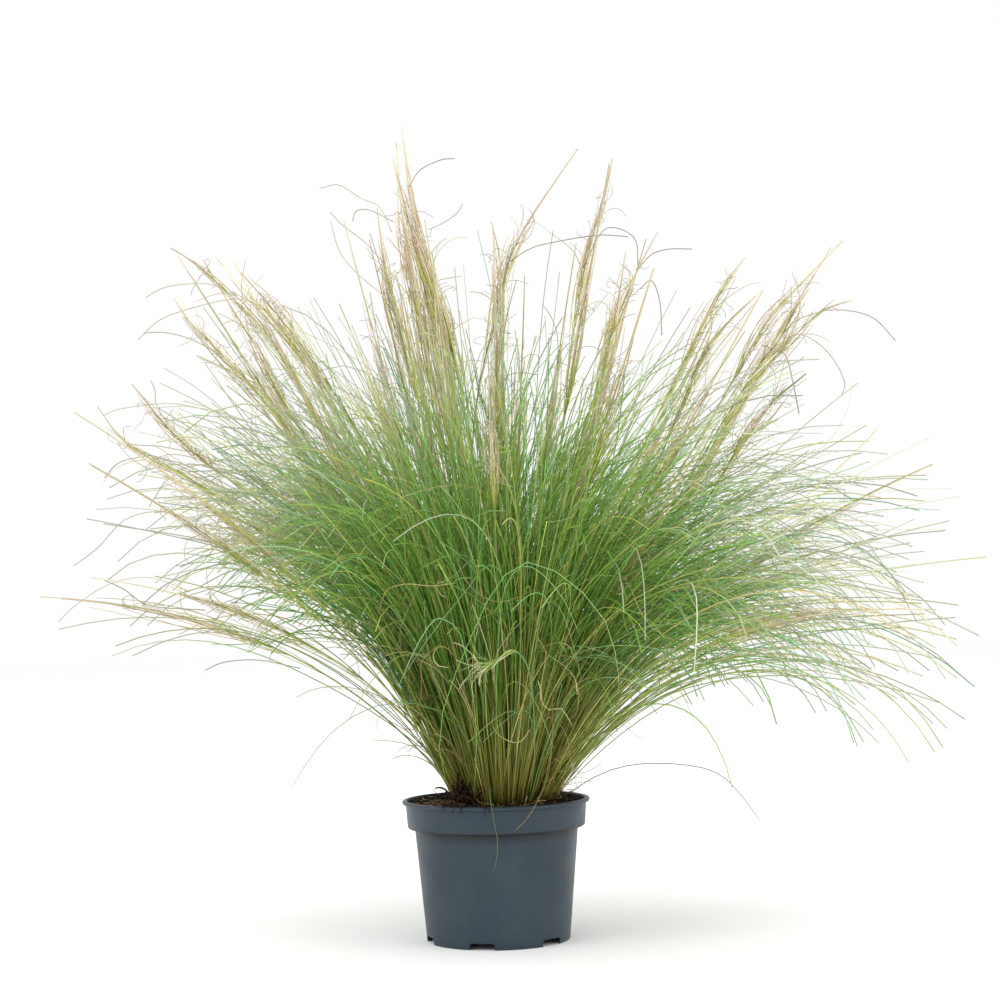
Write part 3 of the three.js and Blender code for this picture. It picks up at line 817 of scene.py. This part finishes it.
LEFT, BACK = math.pi, math.pi / 2
green_sweeps = [
    long_blades(20, -0.05, 0.32, (39, 3), (56, 8), (0.41, 0.50), ages=(0.95, 1.35)),
    long_blades(28, 0.0, 0.35, (25, 3), (50, 8), (0.44, 0.52), (1.3, 1.8), (0.95, 1.35)),
    long_blades(2, LEFT + 0.1, 0.35, (34, 3), (40, 5), (0.38, 0.44)),
    long_blades(8, BACK, 0.35, (38, 4), (50, 8), (0.38, 0.44)),
    long_blades(4, -0.85, 0.25, (38, 3), (56, 6), (0.36, 0.42), ages=(0.45, 0.65)),
    long_blades(14, LEFT, 0.45, (18, 3), (32, 5), (0.41, 0.46)),
    long_blades(44, 0.5, 0.3, (4, 2), (7, 3), (0.34, 0.40), ages=(0.4, 0.6)),
]
straw_sweeps = [
    long_blades(20, -0.05, 0.34, (39, 3), (56, 8), (0.40, 0.50)),
    long_blades(3, LEFT + 0.05, 0.3, (35, 2), (40, 4), (0.36, 0.41)),
    long_blades(4, LEFT, 0.45, (18, 3), (32, 5), (0.38, 0.44)),
]
green_outer = strand_piece("long_leaves", green_sweeps, LEAF_GREEN)
straw_outer = strand_piece("long_straws", straw_sweeps, CULM_STRAW)
report("long blade", [green_outer, straw_outer])

# %% [markdown]
# ## Loose blades over the front
#
# Some leaves rise out of the clump and fall back over its front in a high arch; young ones are blue-
# green. Between them hang old leaves that have dried to straw and curled. They are few, but they are what
# the eye follows. Their routes go through a few spots each, given in millimetres.


# %% Routes through a few spots
def through(spots, rings=14):
    """A smooth route through a few spots."""
    spots = np.array(spots, float) * MM
    padded = np.concatenate([[2 * spots[0] - spots[1]], spots, [2 * spots[-1] - spots[-2]]])
    share = np.linspace(0, len(spots) - 1 - 1e-9, rings + 1)
    leg = share.astype(int)
    t = (share - leg)[:, None]
    before, here, then, after = (padded[leg + k] for k in range(4))
    curve = 2 * here + (then - before) * t
    curve += (2 * before - 5 * here + 4 * then - after) * t**2
    curve += (3 * here - before - 3 * then + after) * t**3
    return curve / 2


def laid_through(spot_lists, girth):
    return laid(np.array([through(spots) for spots in spot_lists]), girth)


# %% Arching blades
TALL_ARCHES = [
    [(-34, -28, 122), (-47, -80, 165), (-42, -125, 215), (-21, -165, 265), (0, -198, 308),
     (26, -218, 334), (60, -212, 322), (92, -190, 288), (104, -160, 250), (106, -134, 224)],
    [(5, -40, 122), (20, -120, 230), (14, -190, 312), (0, -217, 333), (-20, -205, 312), (-49, -180, 278),
     (-76, -150, 240)],
    [(-20, -40, 122), (-15, -110, 200), (-24, -170, 272), (-37, -186, 289), (-48, -186, 288),
     (-63, -170, 266), (-78, -144, 236)],
    [(0, -42, 122), (2, -110, 205), (6, -173, 276), (12, -204, 314), (26, -217, 331), (42, -214, 325),
     (60, -198, 303), (72, -178, 276)],
    [(20, -40, 122), (30, -110, 200), (38, -175, 280), (46, -196, 302), (57, -193, 296), (67, -172, 268),
     (75, -144, 234)],
    [(38, -45, 122), (47, -86, 164), (51, -108, 193), (55, -130, 220), (58, -139, 232), (55, -142, 234),
     (51, -136, 226)],
]
RIM_BLADES = [
    [(0, -44, 122), (-3, -70, 140), (-5, -85, 138), (-2, -90, 117), (1, -91, 98), (0, -91, 83),
     (-3, -91, 72)],
    [(54, -24, 124), (91, -60, 150), (126, -75, 160), (169, -78, 158), (196, -74, 149), (215, -62, 130),
     (232, -58, 106)],
]
ARCH_GIRTH = (0.42, 0.38, 0.25)


def front_arches(count):
    azimuth = rng.uniform(-2.2, -0.9, count)
    feet = from_crown(azimuth, rng.uniform(0.5, 1.0, count))
    first = np.radians(rng.uniform(16, 30, count))
    last = np.radians(rng.uniform(100, 150, count))
    power = rng.uniform(1.1, 2.0, count)
    length = rng.uniform(0.22, 0.34, count)
    routes = arcs(*feet, length, (first, last), power, rng.normal(0, 0.8, count), 0, 0, 14)
    return laid(keep_inside(above_rim(routes)), ARCH_GIRTH)


arch_parts = [front_arches(12), laid_through(TALL_ARCHES, ARCH_GIRTH)]
arches = strand_piece("front_arches", arch_parts, GLAUCOUS)
rim_blades = strand_piece("rim_blades", [laid_through(RIM_BLADES, (0.44, 0.4, 0.26))], DULL_GREEN)
report("arch", [arches, rim_blades])

# %% Dry leaves
STRAW_CURLS = [
    [(37, -188, 296), (38, -172, 273), (45, -163, 261), (42, -146, 240), (40, -132, 222), (47, -124, 211),
     (58, -125, 212), (67, -113, 196)],
    [(1, -128, 216), (-1, -114, 198), (9, -104, 186), (22, -102, 183), (31, -110, 194)],
    [(41, -194, 302), (24, -183, 286), (15, -175, 276), (5, -164, 262), (0, -145, 238)],
    [(-92, -188, 296), (-84, -202, 314), (-68, -208, 319), (-47, -207, 317), (-27, -208, 319)],
    [(-39, -214, 326), (-43, -207, 317), (-40, -202, 310), (-36, -200, 308)],
    [(50, -137, 228), (50, -114, 195), (47, -99, 160), (39, -93, 137), (28, -91, 118), (16, -91, 106)],
]
RIM_DEBRIS = [
    [(-45, -64, 124), (-46, -72, 128), (-46, -76, 127), (-45, -78, 122)],
    [(-38, -68, 124), (-37, -75, 128.5), (-36, -79, 127), (-38, -80.5, 121)],
    [(-34, -68, 125), (-32, -77, 129), (-30, -80.5, 126), (-31, -82, 120)],
    [(-42, -66, 125), (-36, -74, 129), (-31, -79, 128.5), (-27, -81, 127.5)],
    [(-8, -74, 125), (-8, -82, 129), (-9, -86, 126), (-10, -87, 119)],
    [(-12, -74, 126), (-9, -83, 128.5), (-6, -86, 126.5), (-5, -86.5, 122)],
]


def dry_uprights(count):
    """Old leaves and leaf sheaths that still stand among the green ones."""
    azimuth = rng.uniform(0, FULL_TURN, count)
    place = rng.uniform(0.2, 1, count) ** 0.5
    length = rng.uniform(0.06, 0.26, count)
    routes = blade_routes(azimuth, place, np.radians(rng.uniform(4, 40, count)), length)
    return laid(routes, (0.55, 0.48, 0.3))


def outer_curls(count, heights, slope, stray, lean, jitter, rise, lengths, bends, waves, girth):
    """Curled strands on the outside of the clump, which is wider by slope with every metre of height."""
    out = outward(rng.uniform(0, FULL_TURN, count))
    height = rng.uniform(*heights, count)
    reach = 0.040 + slope * height + rng.uniform(*stray, count)
    start = out * reach[:, None] + CROWN_TOP + height[:, None] * UP
    heading = out * rng.uniform(*lean, (count, 1)) + rng.normal(0, jitter, (count, 3))
    heading = unit(heading + [0, 0, rise])
    routes = curls(start, heading, rng.uniform(*lengths, count), rng.uniform(*bends, count), waves)
    return laid(keep_inside(above_rim(routes)), girth)


def soil_fibres(count):
    """Bits of straw and root lying on the compost round the crown."""
    out = outward(rng.uniform(0, FULL_TURN, count))
    start = out * rng.uniform(0.046, 0.076, (count, 1)) + [0, 0, SOIL_LEVEL + 1.5 * MM]
    heading = unit(rng.normal(0, 1, (count, 3)) * [1, 1, 0.25])
    routes = curls(start, heading, rng.uniform(0.008, 0.03, count), 0.5, 0.7)
    far = np.linalg.norm(routes[..., :2], axis=-1, keepdims=True)
    routes[..., :2] *= np.minimum(1, (LIP_RADIUS - 7 * MM) / far)
    routes[..., 2] = np.maximum(routes[..., 2], SOIL_LEVEL)
    return laid(routes, (0.3, 0.28, 0.18))


def side_wisps(count):
    """Fine broken awns caught in the foot of the clump on its right side."""
    start = rng.normal((0.052, -0.036, 0.136), (0.006, 0.006, 0.008), (count, 3))
    heading = unit(rng.normal((0.8, -0.1, 0.5), (0.25, 0.2, 0.3), (count, 3)))
    routes = curls(start, heading, rng.uniform(0.02, 0.055, count), rng.uniform(0.4, 1.4, count), 0.7)
    return laid(above_rim(routes), (0.3, 0.26, 0.2))


def dead_stubs(count):
    """Short ends of old cut stems, standing at the crown's foot on its front left."""
    start = rng.normal((-0.026, -0.038, SOIL_LEVEL), (0.007, 0.004, 0.001), (count, 3))
    heading = unit(rng.normal((0, 0, 1), (0.35, 0.3, 0.2), (count, 3)))
    routes = keep_inside(curls(start, heading, rng.uniform(0.011, 0.031, count), 0.6, 0.6, 6))
    girth = taper(6, (1.6, 1.3, 0.8)) * rng.uniform(0.6, 1.3, (count, 1))
    return strands(routes, girth, rng.random(count))


LEAF_CURL = {
    "heights": (0.06, 0.2), "slope": 0.7, "stray": (-0.005, 0.02), "lean": (-0.2, 0.4), "jitter": 0.45,
    "rise": 0.5, "lengths": (0.05, 0.17), "bends": (0.5, 1.5), "waves": 0.9, "girth": (0.42, 0.38, 0.26),
}
HAIR_CURL = {
    "heights": (0.05, 0.30), "slope": 0.62, "stray": (-0.02, 0.015), "lean": (0, 0.6), "jitter": 0.35,
    "rise": 0.8, "lengths": (0.05, 0.16), "bends": (0.4, 1.3), "waves": 0.7, "girth": (0.26, 0.24, 0.17),
}
stub_parts = [dead_stubs(30), laid_through(RIM_DEBRIS, (0.7, 0.6, 0.35))]
stubs = strand_piece("dead_stubs", stub_parts, OLD_STEM)
dry_parts = [dry_uprights(130), outer_curls(34, **LEAF_CURL), soil_fibres(32), side_wisps(20)]
dry = strand_piece("dry_leaves", dry_parts, DRY_STRAW)
curl_parts = [laid_through(STRAW_CURLS, (0.42, 0.38, 0.24)), outer_curls(130, **HAIR_CURL)]
loose_curls = strand_piece("loose_curls", curl_parts, DRY_STRAW)
report("dry leaf", [stubs, dry, loose_curls])

# %% [markdown]
# ## The flowering stems
#
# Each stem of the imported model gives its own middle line: its points lie round a smooth curve, so a low
# polynomial fitted to them finds it. A culm is laid along the line. Its panicle is a narrow bundle of
# long silky awns that lie close to the culm and end in a stiff tail, with short curly hairs standing out
# from it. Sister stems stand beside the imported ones, turned a few degrees and a little shorter, because
# shoots flower in groups.

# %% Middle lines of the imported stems
CULM_RINGS = 16


def middle_line(node):
    """The middle of a packed stem from foot to tip, as CULM_RINGS + 1 points."""
    axis = np.array([CROWN_X, 0, 0])
    rel = np.array([v.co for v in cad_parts[node].data.vertices]) - axis
    foot = rel[rel[:, 2] < rel[:, 2].min() + 1 * MM].mean(axis=0)
    tip = rel[np.linalg.norm(rel - foot, axis=1).argmax()]
    chord = tip - foot
    span = float(np.linalg.norm(chord))
    ahead = chord / span
    up = unit(np.array([0, 0, 1.0]) - ahead * ahead[2])
    aside = np.cross(ahead, up)
    share = (rel - foot) @ ahead / span
    bow = np.polyfit(share, (rel - foot) @ up, 3)
    drift = np.polyfit(share, (rel - foot) @ aside, 1)
    at = np.linspace(0, 1, CULM_RINGS + 1)
    lift = np.polyval(bow, at) - np.polyval(bow, 0)
    sideways = (np.polyval(drift, at) * at)[:, None] * aside
    return foot + at[:, None] * chord + lift[:, None] * up + sideways + axis


STEM_NODES = sorted(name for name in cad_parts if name.startswith("stem_"))
lines = np.array([middle_line(name) for name in STEM_NODES])
print(len(STEM_NODES), "stems; the tallest ends at", round(float(lines[:, -1, 2].max()), 3), "m")


# %% A panicle on a culm
def along_line(line, share):
    """Points and directions at given shares of a culm's middle line."""
    at = np.linspace(0, 1, len(line))

    def sample(values):
        return np.stack([np.interp(share, at, values[:, axis]) for axis in range(3)], axis=-1)

    return sample(line), unit(sample(unit(np.gradient(line, axis=0))))


def across(heading, count):
    """A random direction square to each heading."""
    spin = unit(rng.normal(0, 1, (count, 3)))
    return unit(spin - heading * np.sum(spin * heading, axis=-1, keepdims=True))


def close_awns(line, count, starts, spans, reach, girth, rings=9):
    """Awns that run beside a culm, at most reach millimetres off it, and close in on it again."""
    begin = rng.uniform(*starts, count)
    span = np.minimum(rng.uniform(*spans, count), 1 - begin)
    step = np.linspace(0, 1, rings + 1)
    point, heading = along_line(line, begin[:, None] + span[:, None] * step)
    out = across(heading[:, 0], count)
    swell = rng.uniform(reach[0] * MM, reach[1] * MM, count)[:, None]
    swell = swell * np.sin(math.pi * step * rng.uniform(0.7, 1, (count, 1))) ** 0.8
    return laid(keep_inside(point + out[:, None] * swell[..., None]), girth)


def loose_awns(line, count, shares, lengths, lean, last_lean, girth, rings):
    """Awns that leave a culm between two shares of its length and curl away from it."""
    point, heading = along_line(line, rng.uniform(*shares, count))
    first = np.radians(rng.uniform(*lean, count))
    last = np.radians(rng.uniform(*last_lean, count))
    length = rng.uniform(*lengths, count)
    out = across(heading, count)
    swing = rng.normal(0, 0.5, count)
    routes = arcs(point, heading, out, length, (first, last), 1.0, swing, 0, 0.2, rings)
    return laid(keep_inside(routes), girth)


def leans_front(line):
    """1 where a stem leans straight to the front, 0 at the sides and the back."""
    lean = line[-1] - line[0]
    return float(front(math.atan2(lean[1], lean[0])))


def panicle(line, awns=12):
    """The silky head of a stem: a slim bundle of awns, its long stiff tail, and a few that hook away."""
    lowest = 0.48 + 0.17 * leans_front(line)
    bundle = close_awns(line, awns, (lowest, 0.66), (0.12, 0.24), (1.5, 8), (0.42, 0.42, 0.3))
    sheaf = close_awns(line, (awns + 4) // 2, (0.34, 0.58), (0.22, 0.40), (2, 12), (0.3, 0.42, 0.3), 12)
    spots = (lowest + 0.03, 0.80)
    spikelets = loose_awns(line, awns, spots, (0.016, 0.036), (2, 8), (0, 12), (0.46, 0.46, 0.22), 5)
    tail = close_awns(line, 1, (0.70, 0.76), (0.18, 0.28), (0.2, 1.0), (0.5, 0.8, 0.6))
    hooked = loose_awns(line, 2, (0.60, 0.78), (0.03, 0.08), (6, 22), (40, 110), (0.46, 0.44, 0.3), 10)
    if leans_front(line) > 0.5:
        return [bundle, spikelets, tail]
    return [bundle, sheaf, spikelets, tail, hooked]


def curly_hairs(line, count=16):
    """Short awns that have let go and curled."""
    point, heading = along_line(line, rng.uniform(0.5 + 0.2 * leans_front(line), 0.84, count))
    heading = unit(heading + across(heading, count) * rng.uniform(0.1, 1.2, (count, 1)))
    start = point + across(heading, count) * rng.uniform(0, 5 * MM, (count, 1))
    routes = curls(start, heading, rng.uniform(0.014, 0.034, count), rng.uniform(0.5, 2.2, count), 0.8, 7)
    return laid(keep_inside(routes), (0.32, 0.32, 0.24))


# %% Stems that are seen on their own
def drifting(start_y, end_y, xs, zs):
    """Spots given by their x and z, in millimetres, whose y drifts from one value to another."""
    ys = start_y + (end_y - start_y) * np.linspace(0, 1, len(xs)) ** 1.3
    return np.stack([xs, np.round(ys), zs], axis=-1)


OUTER_STEMS = [
    (-10, -20, [1, -5, -18, -35, -52, -66, -73], [130, 269, 397, 506, 598, 672, 740]),
    (5, 20, [-3, -11, -31, -52, -66, -76, -80], [128, 288, 426, 519, 594, 665, 734]),
    (-20, -60, [1, -8, -19, -33, -48, -67, -79], [131, 270, 414, 513, 585, 645, 701]),
    (10, 50, [-10, -24, -47, -70, -84, -95, -101], [128, 288, 418, 512, 571, 626, 679]),
    (-25, -70, [4, 0, -10, -22, -32, -40, -48], [131, 270, 395, 485, 538, 573, 605]),
    (15, 30, [13, 14, 14, 14, 14, 14, 7], [127, 269, 416, 509, 580, 625, 660]),
    (-10, -30, [2, -11, -18, -8, 8, 22, 47, 87], [130, 288, 397, 497, 555, 612, 657, 713]),
    (0, 10, [22, 43, 61, 74, 86, 100, 112, 121], [128, 268, 396, 506, 580, 636, 674, 713]),
    (10, 30, [26, 54, 82, 103, 122, 142, 163], [127, 268, 396, 507, 563, 610, 647]),
    (-15, -50, [24, 48, 74, 96, 112, 121, 127], [130, 268, 376, 466, 537, 581, 615]),
    (0, -20, [31, 72, 115, 148, 179, 203, 223, 238], [128, 268, 376, 457, 516, 560, 594, 612]),
    (-10, -60, [34, 79, 126, 162, 190, 214, 241], [129, 259, 366, 446, 512, 546, 570]),
    (5, 20, [36, 87, 142, 200, 236, 264, 299, 334], [127, 258, 367, 458, 518, 561, 598, 633]),
    (-10, -40, [36, 90, 146, 203, 240, 266, 279, 292], [129, 249, 352, 446, 503, 536, 561, 579]),
    (-15, -70, [38, 95, 154, 211, 245, 272, 299, 325], [129, 245, 347, 454, 501, 531, 555, 563]),
    (-25, -120, [37, 95, 159, 217, 248, 274], [130, 241, 337, 428, 471, 493]),
    (0, 0, [-31, -67, -110, -150, -190, -220, -262, -289], [129, 243, 354, 455, 536, 575, 617, 636]),
    (-10, -40, [-29, -62, -102, -146, -183, -204, -228, -253], [130, 244, 344, 426, 485, 530, 572, 617]),
    (10, 40, [-27, -58, -97, -135, -166, -197, -227, -252], [128, 252, 363, 466, 528, 570, 603, 632]),
    (-20, -80, [-28, -62, -106, -151, -196, -232, -259, -274], [131, 244, 344, 416, 484, 525, 554, 577]),
    (20, 70, [-24, -49, -84, -124, -155, -186, -213, -234], [127, 261, 372, 467, 520, 565, 599, 624]),
    (-10, -50, [-34, -77, -137, -198, -247, -281, -303, -317], [130, 235, 327, 391, 428, 459, 486, 505]),
    (0, 10, [-36, -85, -148, -213, -265, -312, -339, -360], [130, 226, 304, 374, 417, 443, 462, 492]),
]
HOOKED_AWNS = [
    (-20, [-67, -57, -38, -25], [684, 699, 708, 709]),
    (-55, [-49, -34, -23, -18], [637, 644, 652, 660]),
    (40, [-87, -98, -116, -136, -154], [654, 678, 687, 700, 697]),
    (30, [-85, -106, -119, -123], [662, 673, 673, 663]),
    (20, [-80, -91, -118, -135, -143], [558, 586, 611, 633, 662]),
    (-30, [-66, -90, -107, -127, -139], [578, 610, 631, 647, 660]),
    (-28, [22, 42, 61, 103, 131], [611, 623, 628, 634, 632]),
    (6, [91, 108, 122, 140, 142], [610, 642, 647, 636, 611]),
    (30, [131, 152, 170, 195], [593, 622, 630, 630]),
    (-30, [159, 158, 151, 140], [541, 572, 591, 583]),
    (-50, [272, 285, 312, 345, 366], [545, 552, 558, 551, 529]),
    (-40, [264, 286, 308, 321, 318], [535, 537, 520, 495, 481]),
    (-30, [249, 269, 276, 281], [530, 522, 497, 467]),
    (-20, [-223, -244, -266, -292, -309], [578, 596, 599, 596, 587]),
    (30, [-209, -225, -251, -301, -325], [579, 591, 590, 576, 556]),
    (-60, [-241, -263, -285, -304], [531, 543, 549, 549]),
    (-40, [-285, -297, -298, -302], [466, 487, 500, 509]),
    (-20, [-234, -261, -292, -333, -349], [474, 485, 490, 486, 480]),
    (0, [-310, -338, -352], [445, 439, 425]),
    (0, [-265, -302, -334, -359, -381], [384, 393, 386, 361, 345]),
    (10, [-277, -313, -350, -382, -398], [319, 333, 328, 309, 294]),
    (-10, [-260, -310, -333, -351], [302, 307, 322, 331]),
    (-20, [-209, -254, -291, -325], [274, 282, 276, 262]),
    (-30, [-173, -209, -240, -258], [248, 256, 255, 248]),
]

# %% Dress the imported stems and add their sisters
CULM_GIRTH = (0.9, 0.75, 0.5)
FULL_HEADS = 5


def sister_lines(line, count):
    """Lines like a given one, turned a little about its foot and shortened."""
    for _ in range(count):
        axis = Vector(rng.normal(0, 1, 3)).normalized()
        turn = np.array(Matrix.Rotation(math.radians(rng.uniform(3, 8)), 3, axis))
        size = rng.uniform(0.72, 0.96)
        shift = np.array([rng.uniform(-0.01, 0.01), rng.uniform(-0.01, 0.01), 0])
        yield line[0] + shift + (line - line[0]) @ turn.T * size


def build_stem(node, line):
    number = node[-2:]
    stem = strand_piece(f"culm_{number}", [laid(line[None], CULM_GIRTH)], CULM_STRAW, [node])
    return stem, strand_piece(f"panicle_{number}", panicle(line), AWN_SILK)


stems = [build_stem(node, line) for node, line in zip(STEM_NODES, lines)]
side_lines = [line for line in lines if leans_front(line) < 0.5]
sisters = [other for line in side_lines for other in sister_lines(line, int(rng.integers(0, 2)))]
first_full = len(sisters)
sisters += [through(drifting(*stem), CULM_RINGS) for stem in OUTER_STEMS]
sisters = keep_inside(np.array(sisters))
sister_culms = [laid(line[None], CULM_GIRTH) for line in sisters]
sister_culms = strand_piece("sister_culms", sister_culms, CULM_STRAW)
fullness = [24 if first_full <= i < first_full + FULL_HEADS else 10 for i in range(len(sisters))]
sister_heads = [part for line, awns in zip(sisters, fullness) for part in panicle(line, awns)]
sister_heads = strand_piece("sister_panicles", sister_heads, AWN_SILK)
hair_parts = [curly_hairs(line) for line in [*lines, *sisters]]
hooked = [drifting(y, y, xs, zs) for y, xs, zs in HOOKED_AWNS]
hair_parts.append(laid_through(hooked, (0.5, 0.55, 0.5)))
hairs = strand_piece("awn_hairs", hair_parts, AWN_HAIR)
report("stem", [piece for pair in stems for piece in pair])
report(f"{len(sisters)} sister stems and all hairs,", [sister_culms, sister_heads, hairs])

# %% A young plume bent over the front
BENT_PLUME = [
    (28, -38, 122), (34, -96, 166), (34, -142, 208), (31, -178, 242), (25, -196, 258), (17, -202, 263),
    (8, -201, 258), (0, -198, 249),
]
FRINGE = 26
bent_line = through(BENT_PLUME, CULM_RINGS)
bent_stem = strand_piece("bent_stem", [laid(bent_line[None], (0.5, 0.6, 0.6))], GLAUCOUS)
bent_awns = close_awns(bent_line, 18, (0.6, 0.8), (0.12, 0.3), (0.4, 2.6), (0.4, 0.36, 0.2))
bent = strand_piece("bent_plume", [bent_awns], BENT_SILK)
point, heading = along_line(bent_line, rng.uniform(0.86, 1.0, FRINGE))
heading = unit(0.4 * heading + rng.normal((-0.9, 0, -0.05), 0.22, (FRINGE, 3)))
fringe_routes = curls(point, heading, rng.uniform(0.015, 0.04, FRINGE), 0.6, 0.6, 8)
fringe = strand_piece("bent_plume_fringe", [laid(fringe_routes, (0.24, 0.22, 0.16))], BENT_SILK)
report("bent plume", [bent_stem, bent, fringe])

# %% [markdown]
# ## The stage
#
# A pale floor and soft light from large panels, as in a plain product studio. The camera stands 1.8 m in
# front of the pot, a little above its rim, and looks slightly up at the clump.

# %% Floor
PALE, _, pale_shader = new_material("stage_pale", 0.9)
pale_shader["Base Color"].default_value = (0.99, 0.99, 0.99, 1)
floor_bm = bmesh.new()
bmesh.ops.create_grid(floor_bm, x_segments=1, y_segments=1, size=12)
floor = put_in_scene("stage_floor", mesh_from(floor_bm, "stage_floor"))
floor.data.materials.append(PALE)

# %% Lights
AIM = Vector((0, 0, 0.3))
PANELS = {
    "panel_left": ((-2.2, -1.2, 1.5), (1.6, 2.2), 18),
    "panel_right": ((2.2, -1.0, 1.5), (1.6, 2.2), 14),
    "panel_top": ((0.0, -0.6, 2.6), (2.6, 2.0), 24),
}
for name, (spot, size, power) in PANELS.items():
    light = bpy.data.lights.new(name, "AREA")
    light.shape = "RECTANGLE"
    light.size, light.size_y = size
    light.energy = power
    holder = put_in_scene(name, light)
    holder.location = spot
    holder.rotation_euler = (AIM - Vector(spot)).to_track_quat("-Z", "Y").to_euler()
world = bpy.data.worlds.new("studio")
bpy.context.scene.world = world
world.use_nodes = True
background = world.node_tree.nodes["Background"].inputs
background["Color"].default_value = (1, 1, 1, 1)
background["Strength"].default_value = 1.0
bpy.context.scene.view_settings.view_transform = "Standard"
print("lights:", ", ".join(PANELS))

# %% Camera
PICTURE_SIZE = 1000
FOCAL_PIXELS = 1970
SENSOR_WIDTH = 36
CAMERA_SPOT = (9.6 * MM, -1.8, 0.298)
CAMERA_PITCH = math.radians(3.14)
CAMERA_ROLL = math.radians(-1.25)
camera = put_in_scene("camera", bpy.data.cameras.new("camera"))
camera.data.sensor_width = SENSOR_WIDTH
camera.data.lens = SENSOR_WIDTH * FOCAL_PIXELS / PICTURE_SIZE
turn = Matrix.Rotation(math.radians(90) + CAMERA_PITCH, 4, "X") @ Matrix.Rotation(CAMERA_ROLL, 4, "Z")
camera.matrix_world = Matrix.Translation(CAMERA_SPOT) @ turn
bpy.context.scene.camera = camera
